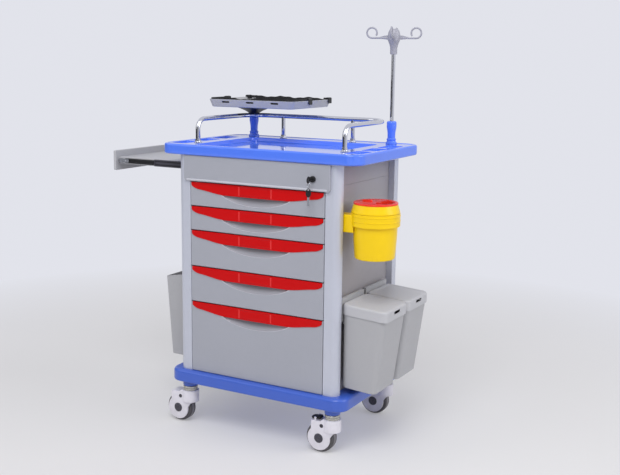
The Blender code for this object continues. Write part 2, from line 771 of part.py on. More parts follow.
def make_columns():
    """Four hollow corner columns, each rounded on its outer corner. The front pair is shallower."""
    names = ("front_left", "front_right", "back_right", "back_left")
    sides = ((-1, -1), (1, -1), (1, 1), (-1, 1))
    for round_at, (label, (side_x, side_y)) in enumerate(zip(names, sides)):
        outer = Vector((side_x * HALF_WIDTH, side_y * HALF_DEPTH))
        depth = COLUMN_SIZE if side_y > 0 else COLUMN_FRONT_DEPTH
        inner = outer - Vector((side_x * COLUMN_SIZE, side_y * depth))
        low = [min(pair) for pair in zip(outer, inner)]
        high = [max(pair) for pair in zip(outer, inner)]
        outer_radii = [COLUMN_ROUND if corner == round_at else COLUMN_EDGE for corner in range(4)]
        inner_radii = [COLUMN_ROUND - COLUMN_WALL if corner == round_at else 0 for corner in range(4)]
        inner_low = [value + COLUMN_WALL for value in low]
        inner_high = [value - COLUMN_WALL for value in high]
        outlines = [
            rounded_rectangle(low, high, outer_radii, 5),
            rounded_rectangle(inner_low, inner_high, inner_radii, 5),
        ]
        plate(f"column_{label}", outlines, "XY", (STACK_BOTTOM + GAP, TOP_BOTTOM - GAP), "column_silver")


def drawer_levels():
    """Each drawer's lower and upper line, from the top drawer down."""
    levels = []
    top = STACK_TOP
    for units in DRAWER_UNITS:
        bottom = top - units * DRAWER_UNIT
        levels.append((bottom, top))
        top = bottom
    return levels


def make_side_panel(label, side, top):
    """A side sheet with the drawer runners and the deck's ledge folded in, and a seam over the deck."""
    inner = SIDE_X - SHEET
    ledges = [(bottom + RUNNER_DROP - GAP - SHEET, RUNNER_INNER) for bottom, _ in drawer_levels()]
    ledges.append((DECK_Z - GAP - SHEET, inner - DECK_LEDGE))
    outline = [(SIDE_X, top)]
    seam = STACK_TOP + SIDE_SEAM_RISE
    if seam < top:
        groove = SIDE_X - SEAM_DEPTH
        outline += [(SIDE_X, seam + SEAM_WIDTH), (groove, seam + SEAM_WIDTH), (groove, seam), (SIDE_X, seam)]
    outline += [(SIDE_X, STACK_BOTTOM + GAP), (inner, STACK_BOTTOM + GAP)]
    for low, reach in sorted(ledges):
        outline += [(inner, low), (reach, low), (reach, low + SHEET), (inner, low + SHEET)]
    outline.append((inner, top))
    outline = [(side * x, z) for x, z in outline]
    span = (SIDE_FRONT_Y + GAP, SIDE_INNER_Y - GAP)
    panel = plate(f"side_panel_{label}", [outline], "XZ", span, "panel_grey")
    if seam > top:
        faces = sorted((side * (SIDE_X - STILE_INSET), side * (inner + STILE_INSET)))
        low = (faces[0], SIDE_FRONT_Y + GAP, top - STILE_LAP)
        join(panel, box("shelf_stile", low, (faces[1], -SIDE_INNER_Y, TOP_BOTTOM - GAP)))


def make_cabinet():
    """Columns, side sheets, back sheet and the fascia over the drawers."""
    make_columns()
    make_side_panel("left", -1, STACK_TOP - DECK_DROP / 5)
    make_side_panel("right", 1, TOP_BOTTOM - GAP)
    back_y = HALF_DEPTH - COLUMN_SIZE / 2
    box(
        "back_panel",
        (GAP - OPENING_HALF, back_y, STACK_BOTTOM + GAP),
        (OPENING_HALF - GAP, back_y + SHEET, TOP_BOTTOM - GAP),
        "panel_grey",
    )
    make_fascia()


def make_fascia():
    """The fascia over the drawers, with a rolled bead along its lower edge and a hole for the lock."""
    half = OPENING_HALF + FASCIA_LAP
    low = STACK_TOP + FASCIA_EDGE
    radii = (FASCIA_CORNER, FASCIA_CORNER, FASCIA_EDGE, FASCIA_EDGE)
    outline = rounded_rectangle((-half, low), (half, TOP_BOTTOM - GAP), radii, 3)
    fascia = plate("top_fascia", [outline], "XZ", (FASCIA_FRONT, FRONT_Y - GAP), "front_grey")
    bevelled(fascia, FASCIA_EDGE, 1, 60)
    reach = half - FASCIA_CORNER
    bead_at = (0, FASCIA_FRONT + BEAD_SINK, low + BEAD_RADIUS)
    join(fascia, rod("fascia_bead", BEAD_RADIUS, -reach, reach, at=bead_at, steps=12, axis="X"))
    lock_at = (LOCK_X, FASCIA_FRONT, LOCK_Z)
    cut(fascia, rod("lock_hole", LOCK_RADIUS + GAP, -LOCK_LENGTH, LOCK_LENGTH, at=lock_at, axis="Y"))


def handle_outline(half_width, drop, top):
    """A long grip, deepest in its middle, that narrows to a wing and a round tip at each end."""
    steps = 18
    outline = [(half_width * HANDLE_TIP, top), (-half_width * HANDLE_TIP, top)]
    for step in range(steps + 1):
        share = -math.cos(math.pi * step / steps) * HANDLE_TIP
        wing = (abs(share) - HANDLE_WING_FROM) / (HANDLE_WING_TO - HANDLE_WING_FROM)
        wing = min(max(wing, 0), 1)
        tip = max(abs(share) - 1 + HANDLE_TIP_LENGTH, 0) / HANDLE_TIP_LENGTH
        depth = (1 - HANDLE_BOW * share * share) * (1 - HANDLE_WING_FALL * wing * wing * (3 - 2 * wing))
        outline.append((half_width * share, -drop * depth * math.sqrt(1 - tip * tip)))
    return outline


def make_drawer(number, bottom, top):
    """One drawer: a front with a finger scoop, its red grip, and an open box on side flanges."""
    slide = empty(f"drawer_{number}", (0, FRONT_Y, top), ROOT)
    height = top - bottom
    half = OPENING_HALF - FRONT_GAP
    low, high = (-half, 0, FRONT_GAP - height), (half, FRONT_THICKNESS, -FRONT_GAP)
    front = box(f"drawer_{number}_front", low, high, "front_grey", parent=slide)
    bevelled(front, FRONT_EDGE, 1)
    seat_outline = handle_outline(half, HANDLE_DROP + FRONT_GAP + GAP, FRONT_EDGE)
    seat = plate(f"drawer_{number}_seat", [seat_outline], "XZ", (-OVERRUN, HANDLE_THICKNESS), parent=slide)
    bm = bmesh.new()
    bmesh.ops.create_uvsphere(bm, u_segments=20, v_segments=10, radius=1)
    bmesh.ops.scale(bm, vec=(SCOOP_HALF_WIDTH, SCOOP_DEPTH, SCOOP_DROP / 2), verts=bm.verts)
    bmesh.ops.translate(bm, vec=(0, 0, -SCOOP_DROP / 2), verts=bm.verts)
    scoop = add(f"drawer_{number}_scoop", finish_mesh("scoop", bm), parent=slide)
    cut(front, seat, scoop)
    make_grip(number, slide, half)
    make_drawer_box(number, slide, height)


def make_grip(number, slide, half):
    """The red grip let into the front's top edge, with a shallow window for a label in its face."""
    outline = handle_outline(half - GAP, HANDLE_DROP + FRONT_GAP, -FRONT_GAP)
    span = (-HANDLE_PROUD, HANDLE_THICKNESS - GAP)
    grip = plate(f"drawer_{number}_handle", [outline], "XZ", span, "handle_red", parent=slide)
    bevelled(grip, HANDLE_EDGE, 1, 60)
    window = box(
        f"drawer_{number}_window",
        (-WINDOW_HALF_WIDTH, -OVERRUN, WINDOW_MARGIN - HANDLE_DROP - FRONT_GAP),
        (WINDOW_HALF_WIDTH, WINDOW_DEPTH - HANDLE_PROUD, -WINDOW_MARGIN - FRONT_GAP),
        parent=slide,
    )
    cut(grip, window)


def make_drawer_box(number, slide, height):
    """An open sheet box behind the front, carried by a flange along each side."""
    half = RUNNER_INNER - RUNNER_GAP
    low = DRAWER_FLOOR_RISE - height
    high = -DRAWER_RIM_DROP
    start = FRONT_THICKNESS + GAP
    end = start + DRAWER_DEPTH
    tray = box(f"drawer_{number}_box", (-half, start, low), (half, end, high), "box_grey", parent=slide)
    inside = box(
        f"drawer_{number}_inside",
        (DRAWER_WALL - half, start + DRAWER_WALL, low + DRAWER_WALL),
        (half - DRAWER_WALL, end - DRAWER_WALL, high + OVERRUN),
        parent=slide,
    )
    flange_half = OPENING_HALF - SHEET / 3
    flange = box(
        f"drawer_{number}_flange",
        (-flange_half, start + FLANGE_SETBACK, RUNNER_DROP - height),
        (flange_half, end, RUNNER_DROP + DRAWER_WALL - height),
        parent=slide,
    )
    join(tray, flange)
    cut(tray, inside)


def make_worktop():
    """The blue top: a low lip, a plateau, a deep recess and shallow pockets beside the rail."""
    outline = rounded_rectangle((-TOP_HALF_X, -TOP_HALF_Y), (TOP_HALF_X, TOP_HALF_Y), WORKTOP_CORNER, 5)
    top = plate("worktop", [outline], "XY", (TOP_BOTTOM, TOP_LIP), "worktop_blue")
    bevelled(top, WORKTOP_EDGE, 2, 60)
    inner_x, inner_y = TOP_HALF_X - LIP_WIDTH, TOP_HALF_Y - LIP_WIDTH
    inner = rounded_rectangle((-inner_x, -inner_y), (inner_x, inner_y), WORKTOP_CORNER - LIP_WIDTH, 5)
    recess_x = RAIL_HALF_WIDTH - RECESS_RAIL_MARGIN
    recess_front, recess_back = RECESS_FRONT_MARGIN - inner_y, RAIL_BACK - RECESS_BACK_MARGIN
    recess = rounded_rectangle((-recess_x, recess_front), (recess_x, recess_back), RECESS_CORNER, 4)
    hollow_x = recess_x - HOLLOW_MARGIN
    hollow = [(-hollow_x, recess_front + HOLLOW_MARGIN), (hollow_x, recess_front + HOLLOW_MARGIN)]
    hollow += [(hollow_x, recess_back - HOLLOW_MARGIN), (-hollow_x, recess_back - HOLLOW_MARGIN)]
    roof = TOP_LIP + OVERRUN
    tools = [
        plate("worktop_plateau", [inner], "XY", (PLATEAU, roof)),
        plate("worktop_recess", [recess], "XY", (RECESS_FLOOR, roof + OVERRUN)),
        plate("worktop_hollow", [hollow], "XY", (TOP_BOTTOM - OVERRUN, RECESS_FLOOR - WORKTOP_SKIN)),
    ]
    band = (RAIL_HALF_WIDTH + POCKET_RAIL_MARGIN, inner_x - POCKET_LIP_MARGIN)
    for side in (-1, 1):
        low_x, high_x = sorted(side * x for x in band)
        for row in (-1, 0, 1):
            front = row * POCKET_PITCH + POCKET_SHIFT - POCKET_LENGTH / 2
            pocket = rounded_rectangle((low_x, front), (high_x, front + POCKET_LENGTH), POCKET_CORNER, 2)
            span = (PLATEAU - POCKET_DEPTH, roof + OVERRUN / 2)
            tools.append(plate(f"worktop_pocket_{side}_{row}", [pocket], "XY", span))
        well_at = (side * POST_X, POST_Y, 0)
        span = (TOP_BOTTOM - OVERRUN, TOP_LIP)
        tools.append(rod(f"worktop_well_{side}", POLE_RADIUS + POLE_CLEARANCE, *span, at=well_at, steps=16))
    cut(top, *tools)


def make_guard_rail():
    """A three-sided tube rail on two front feet and two welded posts, with flared feet."""
    foot = PLATEAU + GAP
    inside_foot = foot + RAIL_FOOT_RISE
    ends = [(-RAIL_HALF_WIDTH, RAIL_FRONT), (RAIL_HALF_WIDTH, RAIL_FRONT)]
    corners = [(*ends[0], inside_foot), (*ends[0], RAIL_Z)]
    corners += [(-RAIL_HALF_WIDTH, RAIL_BACK, RAIL_Z), (RAIL_HALF_WIDTH, RAIL_BACK, RAIL_Z)]
    corners += [(*ends[1], RAIL_Z), (*ends[1], inside_foot)]
    route = rounded_route(corners, (RAIL_FRONT_BEND, RAIL_BACK_BEND, RAIL_BACK_BEND, RAIL_FRONT_BEND))
    rail = tube("guard_rail", route, RAIL_RADIUS, "chrome", sides=2)
    flare = [(0, foot + FLARE_HEIGHT), (FLARE_NECK, foot + FLARE_HEIGHT), (FLARE_RADIUS, foot + SHEET)]
    flare += [(FLARE_RADIUS, foot), (0, foot)]
    posts = [(-RAIL_POST_X, RAIL_BACK), (RAIL_POST_X, RAIL_BACK)]
    for number, (x, y) in enumerate(posts):
        span = (inside_foot, RAIL_Z)
        join(rail, rod(f"rail_post_{number}", RAIL_POST_RADIUS, *span, at=(x, y, 0), steps=12))
    for number, (x, y) in enumerate(ends + posts):
        join(rail, turned(f"rail_foot_{number}", flare, at=(x, y, 0), steps=16))


def sleeve_profile():
    """A grip sleeve with a bulbed top, a waist, a flange on the worktop and a through bore."""
    low, high = PLATEAU + GAP, SLEEVE_TOP
    bore = running_bore(POLE_RADIUS)
    outer = [(SLEEVE_WAIST, high), (SLEEVE_RADIUS, high - SLEEVE_BROW), (SLEEVE_RADIUS, high - SLEEVE_BULB)]
    outer += [(SLEEVE_WAIST, high - SLEEVE_BULB - SLEEVE_TAPER), (SLEEVE_WAIST, low + FLANGE_RISE)]
    outer += [(SLEEVE_FLANGE, low + FLANGE_HEIGHT), (SLEEVE_FLANGE, low)]
    return outer + [(bore, low), (bore, high)]


def make_drip_pole():
    """The drip pole: a sleeve, a sliding pole that runs down inside a column, and a hook head."""
    turned("pole_sleeve", sleeve_profile(), "worktop_blue", (POST_X, POST_Y, 0), closed=True)
    mast = empty("drip_pole", (POST_X, POST_Y, 0), ROOT)
    socket_top = HEAD_BOTTOM + HEAD_SOCKET
    rod("iv_pole", POLE_RADIUS, socket_top - POLE_LENGTH, socket_top - GAP, "chrome", parent=mast)
    top = HEAD_BOTTOM + HEAD_HEIGHT
    knuckle = HEAD_BOTTOM + KNUCKLE_RISE
    socket = POLE_RADIUS + GAP
    hub = [(0, top)] + [(radius, top - drop) for radius, drop in HEAD_CROWN]
    hub += [(HEAD_RADIUS, knuckle + KNUCKLE_ABOVE), (HEAD_RADIUS, knuckle - KNUCKLE_BELOW)]
    hub += [(HEAD_NECK, HEAD_BOTTOM + HEAD_NECK_RISE), (HEAD_NECK, HEAD_BOTTOM)]
    hub += [(socket, HEAD_BOTTOM), (socket, socket_top), (0, socket_top)]
    head = turned("hook_head", hub, "head_grey", parent=mast)
    arm_z = knuckle + HOOK_LIFT
    curl = arc((HOOK_REACH, arm_z + HOOK_CURL), HOOK_CURL, *HOOK_ARC, 11)
    route = [(HEAD_RADIUS / 2, arm_z), (HOOK_STRAIGHT, arm_z)] + curl
    for number in range(4):
        turn = HOOK_TURN + number * math.pi / 2
        points = [(math.cos(turn) * out, math.sin(turn) * out, up) for out, up in route]
        join(head, tube(f"hook_{number}", points, HOOK_WIRE, parent=mast, sides=1))


def make_platform():
    """The swivelling equipment platform: sleeve, pivot with a cone, tray and two loose straps."""
    turned("platform_sleeve", sleeve_profile(), "worktop_blue", (-POST_X, POST_Y, 0), closed=True)
    swivel = empty("platform_swivel", (-POST_X, POST_Y, 0), ROOT)
    cone_low, cone_top = SLEEVE_TOP + GAP, TRAY_FLOOR - GAP
    tail = PLATEAU - PIVOT_REACH
    pivot = [(0, cone_top), (CONE_RADIUS, cone_top), (CONE_RADIUS, cone_top - CONE_RIM)]
    pivot += [(CONE_NECK, cone_low + CONE_NECK_HEIGHT), (CONE_FOOT, cone_low), (POLE_RADIUS, cone_low)]
    pivot += [(POLE_RADIUS, tail), (0, tail)]
    turned("platform_pivot", pivot, "black_plastic", parent=swivel)
    low = Vector((TRAY_OFFSET_X - TRAY_WIDTH / 2, TRAY_OFFSET_Y - TRAY_DEPTH / 2, TRAY_FLOOR))
    high = Vector((TRAY_OFFSET_X + TRAY_WIDTH / 2, TRAY_OFFSET_Y + TRAY_DEPTH / 2, TRAY_FLOOR + TRAY_HEIGHT))
    spread = (TRAY_FLARE,) * 4
    flare = Vector((TRAY_FLARE, TRAY_FLARE, 0))
    tray = tapered("defib_platform", low + flare, high - flare, spread, TRAY_CORNER, "tray_grey", swivel)
    inset = flare + Vector((TRAY_WALL, TRAY_WALL, 0))
    lift = Vector((0, 0, TRAY_WALL))
    corner = TRAY_CORNER - TRAY_WALL
    cut(tray, tapered("tray_inside", low + inset + lift, high - inset + lift, spread, corner, None, swivel))
    slot_z = TRAY_FLOOR + TRAY_SLOT_RISE
    for number in (-1, 0, 1):
        left = TRAY_OFFSET_X + number * TRAY_SLOT_PITCH - TRAY_SLOT_LENGTH / 2
        slot = box(
            f"tray_slot_{number}",
            (left, low.y - OVERRUN, slot_z),
            (left + TRAY_SLOT_LENGTH, high.y + OVERRUN, slot_z + TRAY_SLOT_HEIGHT),
            parent=swivel,
        )
        cut(tray, slot)
    front, back = low.y + inset.y + GAP, high.y - inset.y - GAP
    ends = (low.x + inset.x + STRAP_END_GAP, high.x - inset.x - STRAP_END_GAP)
    make_strap(1, swivel, ends, (front, front + STRAP_THICKNESS))
    make_strap(2, swivel, ends, (back - STRAP_THICKNESS, back))


def make_strap(number, swivel, ends, span):
    """An elastic strap standing slack along a long wall of the tray, its top edge waving over the rim."""
    floor = TRAY_FLOOR + TRAY_WALL + GAP
    rim = TRAY_FLOOR + TRAY_HEIGHT + STRAP_PROUD
    start, end = ends
    steps = 30
    outline = [(end, floor), (start, floor)]
    for step in range(steps + 1):
        part = step / steps
        wave = math.cos(2 * math.pi * (STRAP_WAVES * part + 0.5 * number))
        outline.append((start + (end - start) * part, rim + STRAP_WAVE * wave))
    plate(f"strap_{number}", [outline], "XZ", span, "black_plastic", parent=swivel)


def make_shelf():
    """A pull-out writing shelf: an end panel, a board and a slide along each side."""
    slide_outer = SHELF_HALF_DEPTH - TRACK_WIDTH
    slide_inner = slide_outer - SLIDE_WIDTH
    half_thick = SHELF_THICKNESS / 2
    tail = SHELF_END_THICKNESS + GAP + SHELF_LENGTH
    pull = empty("shelf", (SHELF_END_X, 0, SHELF_MIDDLE_Z), ROOT)
    end_corner = (SHELF_HALF_DEPTH, SHELF_END_HEIGHT / 2)
    end_outline = rounded_rectangle([-value for value in end_corner], end_corner, SHELF_END_CORNER, 3)
    end = plate("shelf_end", [end_outline], "YZ", (0, SHELF_END_THICKNESS), "tray_grey", parent=pull)
    bevelled(end, SHELF_END_EDGE, 2, 60)
    low = (SHELF_END_THICKNESS + GAP, GAP - slide_inner, -half_thick)
    box("shelf_board", low, (tail, slide_inner - GAP, half_thick), "tray_grey", parent=pull)
    for label, side in (("front", -1), ("back", 1)):
        low_y, high_y = sorted((side * slide_inner, side * (slide_outer - GAP)))
        low = (SHELF_END_THICKNESS + SLIDE_SETBACK, low_y, -half_thick)
        box(f"shelf_slide_{label}", low, (tail, high_y, half_thick), "black_plastic", parent=pull)
    make_deck(slide_inner, slide_outer)


def make_deck(slide_inner, slide_outer):
    """The deck over the drawers, with a track along each side that carries a slide of the shelf."""
    deck_half = SIDE_X - SHEET - GAP
    low, high = (-deck_half, GAP - SIDE_INNER_Y, DECK_Z), (deck_half, SIDE_INNER_Y, DECK_Z + SHEET)
    deck = box("shelf_deck", low, high, "panel_grey")
    lip_top = SHELF_MIDDLE_Z - SHELF_THICKNESS / 2 - GAP
    lip_edge = slide_inner + SLIDE_WIDTH / 4
    track_top = SHELF_MIDDLE_Z + SHELF_THICKNESS / 2
    track_foot = DECK_Z + SHEET / 3
    start = SHELF_END_THICKNESS + TRACK_SETBACK - SIDE_X
    outline = [(slide_outer, track_top), (slide_outer, lip_top), (lip_edge, lip_top)]
    outline += [(lip_edge, lip_top - SHEET), (slide_outer, lip_top - SHEET), (slide_outer, track_foot)]
    outline += [(SHELF_HALF_DEPTH, track_foot), (SHELF_HALF_DEPTH, track_top)]
    for side in (-1, 1):
        turned_outline = [(side * y, z) for y, z in outline]
        join(deck, plate(f"shelf_track_{side}", [turned_outline], "YZ", (start, start + TRACK_LENGTH)))


def make_lock():
    """The lock barrel in the fascia and its key, whose origin is on the lock's axis."""
    bore = KEY_BLADE_RADIUS + FIT
    tail = LOCK_PROUD - LOCK_LENGTH
    barrel = [(LOCK_RADIUS - LOCK_EDGE, LOCK_PROUD), (LOCK_RADIUS, LOCK_PROUD - LOCK_EDGE)]
    barrel += [(LOCK_RADIUS, tail), (bore, tail), (bore, LOCK_PROUD)]
    lock_at = (LOCK_X, FASCIA_FRONT, LOCK_Z)
    lock = turned("lock_cylinder", barrel, "black_plastic", lock_at, closed=True, axis="Y")
    lock.rotation_euler = (math.pi / 2, 0, 0)
    turn = empty("lock_turn", (LOCK_X, KEY_BOW_Y, LOCK_Z), ROOT)
    half = KEY_BOW_THICKNESS / 2
    key = rod("lock_key", KEY_BOW_RADIUS, -half, half, "black_plastic", parent=turn, axis="X")
    span = (KEY_BOW_RADIUS - KEY_BOW_THICKNESS, KEY_STANDOFF + KEY_BLADE_REACH)
    join(key, rod("key_blade", KEY_BLADE_RADIUS, *span, parent=turn, axis="Y"))
    hole_at = (0, 0, -KEY_HOLE_DROP)
    cut(key, rod("key_hole", KEY_HOLE_RADIUS, -OVERRUN, OVERRUN, at=hole_at, parent=turn, steps=12, axis="X"))


def leaned(target, edge):
    """Lets a bin's piece slope down with the distance from its inner edge."""
    for vert in target.data.vertices:
        vert.co.z -= BIN_SLOPE * (vert.co.x - edge)


def make_bin(label, front):
    """A tapered waste bin hung on the side sheet, with a sloping lid hinged at its top inner edge."""
    back = front + BIN_LENGTH
    rim = BIN_BOTTOM + BIN_HEIGHT
    hinge_z = rim + LID_HEIGHT
    spread = (0, BIN_TOP_REACH - BIN_BOTTOM_REACH, BIN_DRAFT, BIN_DRAFT)
    low = Vector((BIN_INNER, front + BIN_DRAFT, BIN_BOTTOM))
    high = Vector((BIN_BOTTOM_REACH, back - BIN_DRAFT, rim))
    body = tapered(f"bin_{label}", low, high, spread, BIN_CORNER, "bin_grey", foot=BIN_FOOT)
    wall = Vector((BIN_WALL, BIN_WALL, BIN_WALL))
    mouth = high - wall + Vector((0, 0, 2 * BIN_WALL))
    inside = tapered(f"bin_{label}_inside", low + wall, mouth, spread, BIN_CORNER - BIN_WALL)
    hanger_top = rim - HANGER_DROP
    hanger = box(
        f"bin_{label}_hanger",
        (SIDE_X + GAP, front + HANGER_SETBACK, hanger_top - HANGER_HEIGHT),
        (BIN_INNER + BIN_WALL, back - HANGER_SETBACK, hanger_top),
    )
    strip = box(
        f"bin_{label}_strip",
        (BIN_INNER - HINGE_STRIP, front + HINGE_STRIP_SETBACK, hanger_top - HANGER_HEIGHT / 2),
        (BIN_INNER - GAP, back - HINGE_STRIP_SETBACK, hinge_z + HINGE_STRIP_RISE),
    )
    leaned(body, BIN_INNER)
    leaned(inside, BIN_INNER)
    join(body, hanger, strip)
    cut(body, inside)
    make_bin_lid(label, empty(f"bin_{label}_hinge", (BIN_INNER, (front + back) / 2, hinge_z), ROOT))


def make_bin_lid(label, hinge):
    """A sloping hollow lid with a finger notch in its outer face, about the hinge at its origin."""
    half = BIN_LENGTH / 2 - LID_SIDE_GAP
    reach = BIN_TOP_DEPTH + LID_SIDE_GAP
    level = (0,) * 4
    low, high = Vector((0, -half, GAP - LID_HEIGHT)), Vector((reach, half, 0))
    lid = tapered(f"bin_{label}_lid", low, high, level, BIN_CORNER, "bin_grey", hinge, brow=LID_BROW)
    hollow_low = (BIN_WALL, BIN_WALL - half, -LID_HEIGHT - OVERRUN)
    hollow_high = (reach - BIN_WALL, half - BIN_WALL, -2 * BIN_WALL)
    corner = BIN_CORNER - BIN_WALL
    hollow = tapered(f"bin_{label}_lid_inside", hollow_low, hollow_high, level, corner, None, hinge)
    leaned(lid, 0)
    leaned(hollow, 0)
    skirt = -LID_HEIGHT - BIN_SLOPE * reach
    notch_low = (reach - NOTCH_DEPTH, -NOTCH_LENGTH / 2, skirt + NOTCH_RISE)
    notch_high = (reach + OVERRUN, NOTCH_LENGTH / 2, skirt + NOTCH_RISE + NOTCH_HEIGHT)
    cut(lid, hollow, box(f"bin_{label}_notch", notch_low, notch_high, parent=hinge))


def make_storage_box():
    """An open document box on the left side, its side rims sloping down to the outer wall."""
    half = BOX_LENGTH / 2
    rim = BOX_BOTTOM + BOX_HEIGHT
    spread = (BOX_TOP_REACH - BOX_BOTTOM_REACH, 0, BOX_DRAFT, BOX_DRAFT)
    low = Vector((-BOX_BOTTOM_REACH, BOX_DRAFT - half, BOX_BOTTOM))
    high = Vector((-BIN_INNER, half - BOX_DRAFT, rim))
    body = tapered("storage_box", low, high, spread, BOX_CORNER, "bin_grey", foot=BOX_FOOT)
    wall = Vector((BIN_WALL, BIN_WALL, BIN_WALL))
    mouth = high - wall + Vector((0, 0, 2 * BIN_WALL))
    inside = tapered("storage_inside", low + wall, mouth, spread, BOX_CORNER - BIN_WALL)
    hanger_top = rim - BOX_HANGER_DROP
    hanger = box(
        "storage_hanger",
        (-BIN_INNER - BIN_WALL, -BOX_HANGER_LENGTH / 2, hanger_top - BOX_HANGER_HEIGHT),
        (-SIDE_X - GAP, BOX_HANGER_LENGTH / 2, hanger_top),
    )
    right, left = OVERRUN - BIN_INNER, -BOX_TOP_REACH - OVERRUN
    roof = rim + BOX_SLOPE
    slope = [(right, roof), (left, roof), (left, rim - BOX_SLOPE), (right, rim)]
    join(body, hanger)
    cut(body, inside, plate("storage_slope", [slope], "XZ", (-half - OVERRUN, half + OVERRUN)))


def make_sharps():
    """A round sharps pot that hangs by its collar in a ring bracket on the right side."""
    place = (SHARPS_X, SHARPS_Y, 0)
    top = SHARPS_BOTTOM + SHARPS_HEIGHT
    seat = top - SHARPS_RIM_HEIGHT
    floor = SHARPS_BOTTOM + BIN_WALL
    lid_z = top + SHARPS_LID_RISE
    ledge = top - SHARPS_PLUG
    mouth_radius = SHARPS_RIM_RADIUS - SHARPS_LIP
    throat = SHARPS_NECK_RADIUS - BIN_WALL
    ledge_radius = mouth_radius - SHARPS_LEDGE
    pot = [(SHARPS_RIM_RADIUS - SHARPS_LIP_EDGE, top), (SHARPS_RIM_RADIUS, top - SHARPS_LIP_EDGE)]
    pot += [(SHARPS_COLLAR_RADIUS, seat + BIN_WALL), (SHARPS_COLLAR_RADIUS, seat), (SHARPS_NECK_RADIUS, seat)]
    pot += [(SHARPS_FOOT_RADIUS, SHARPS_BOTTOM + SHARPS_FOOT_ROUND)]
    pot += [(SHARPS_FOOT_RADIUS - SHARPS_FOOT_ROUND, SHARPS_BOTTOM), (0, SHARPS_BOTTOM), (0, floor)]
    pot += [(SHARPS_FOOT_RADIUS - BIN_WALL, floor), (throat, seat - BIN_WALL)]
    pot += [(ledge_radius, ledge - GAP - 2 * BIN_WALL), (ledge_radius, ledge - GAP)]
    pot += [(mouth_radius, ledge - GAP), (mouth_radius, top)]
    turned("sharps_container", pot, "sharps_yellow", place, steps=SHARPS_STEPS, closed=True)
    plug_radius = mouth_radius * math.cos(math.pi / SHARPS_STEPS) - GAP
    cap = [(0, lid_z), (SHARPS_RIM_RADIUS - SHARPS_LID_EDGE, lid_z)]
    cap += [(SHARPS_RIM_RADIUS, lid_z - SHARPS_LID_EDGE), (SHARPS_RIM_RADIUS, top + GAP)]
    cap += [(plug_radius, top + GAP), (plug_radius, ledge), (0, ledge)]
    lid = turned("sharps_lid", cap, "lid_red", place, steps=SHARPS_STEPS)
    outline = arc((MOUTH_SHIFT, 0), MOUTH_RADIUS, -80, 80, 10)
    outline += arc((MOUTH_SHIFT / 2, 0), MOUTH_INNER_RADIUS, 80, -80, 4)
    cut(lid, plate("sharps_mouth", [outline], "XY", (ledge - OVERRUN, lid_z + OVERRUN), at=place))
    make_sharps_bracket(place, seat)


def make_sharps_bracket(place, seat):
    """The ring that holds the pot under its collar, on an arm from the side sheet."""
    low = seat - BRACKET_HEIGHT
    ring = [(BRACKET_RADIUS, seat - GAP), (BRACKET_RADIUS, low)]
    ring += [(BRACKET_HOLD, low), (BRACKET_HOLD, seat - GAP)]
    bracket = turned("sharps_bracket", ring, "sharps_yellow", place, steps=SHARPS_STEPS, closed=True)
    arm_front = SIDE_FRONT_Y + BRACKET_ARM_SETBACK
    arm = box(
        "sharps_arm",
        (SIDE_X + GAP, arm_front, low - BRACKET_ARM_DROP),
        (SHARPS_X - BRACKET_ARM_WIDTH, arm_front + BRACKET_ARM_WIDTH, seat - BRACKET_WALL),
    )
    join(bracket, arm)
    span = (low - BRACKET_ARM_DROP - OVERRUN, seat + OVERRUN)
    cut(bracket, rod("sharps_core", BRACKET_HOLD, *span, at=place, steps=SHARPS_STEPS))


make_base()
for caster_label, caster_place in zip(CASTER_LABELS, caster_places()):
    make_caster(caster_label, caster_place, caster_label in BRAKED_CASTERS)
make_cabinet()
for drawer_number, (drawer_bottom, drawer_top) in enumerate(drawer_levels(), start=1):
    make_drawer(drawer_number, drawer_bottom, drawer_top)
make_worktop()
make_guard_rail()
make_drip_pole()
make_platform()
make_shelf()
make_lock()
make_bin("front", BIN_FRONT)
make_bin("back", BIN_FRONT + BIN_PITCH)
make_storage_box()
make_sharps()
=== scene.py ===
"""Looks of an instrument cart: a five-drawer clinic trolley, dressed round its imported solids.

Metres, +Z up. Each sub-assembly is drawn about the cabinet's own centre line and moved by ORIGIN
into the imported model's frame, so that every piece has its place in its mesh.
"""

from __future__ import annotations

import json
import logging
import math
from dataclasses import dataclass, field, replace
from enum import Enum
from typing import Callable, Iterable, Sequence

import bmesh
import bpy
from mathutils import Matrix, Vector

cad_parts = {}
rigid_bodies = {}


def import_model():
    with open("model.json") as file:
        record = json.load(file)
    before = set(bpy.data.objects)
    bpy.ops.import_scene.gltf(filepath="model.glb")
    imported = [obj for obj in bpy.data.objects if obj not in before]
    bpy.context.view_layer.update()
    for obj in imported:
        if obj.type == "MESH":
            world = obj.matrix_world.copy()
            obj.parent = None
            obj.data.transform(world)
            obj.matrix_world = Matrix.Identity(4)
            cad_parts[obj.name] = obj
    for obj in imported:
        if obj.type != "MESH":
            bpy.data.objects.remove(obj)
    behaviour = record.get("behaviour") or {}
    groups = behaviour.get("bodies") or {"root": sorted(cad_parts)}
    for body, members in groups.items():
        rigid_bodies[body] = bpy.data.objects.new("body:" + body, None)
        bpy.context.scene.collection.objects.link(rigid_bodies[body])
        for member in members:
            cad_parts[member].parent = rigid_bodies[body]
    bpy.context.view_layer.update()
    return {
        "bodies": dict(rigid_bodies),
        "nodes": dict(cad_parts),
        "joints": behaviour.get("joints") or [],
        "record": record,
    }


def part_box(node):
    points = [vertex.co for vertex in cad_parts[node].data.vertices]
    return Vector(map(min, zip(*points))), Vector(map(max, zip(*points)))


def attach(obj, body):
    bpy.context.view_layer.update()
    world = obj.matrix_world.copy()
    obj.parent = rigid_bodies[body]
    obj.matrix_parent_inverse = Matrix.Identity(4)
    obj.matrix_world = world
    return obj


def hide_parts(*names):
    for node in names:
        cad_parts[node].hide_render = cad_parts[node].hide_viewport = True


LOG = logging.getLogger("instrument_cart")
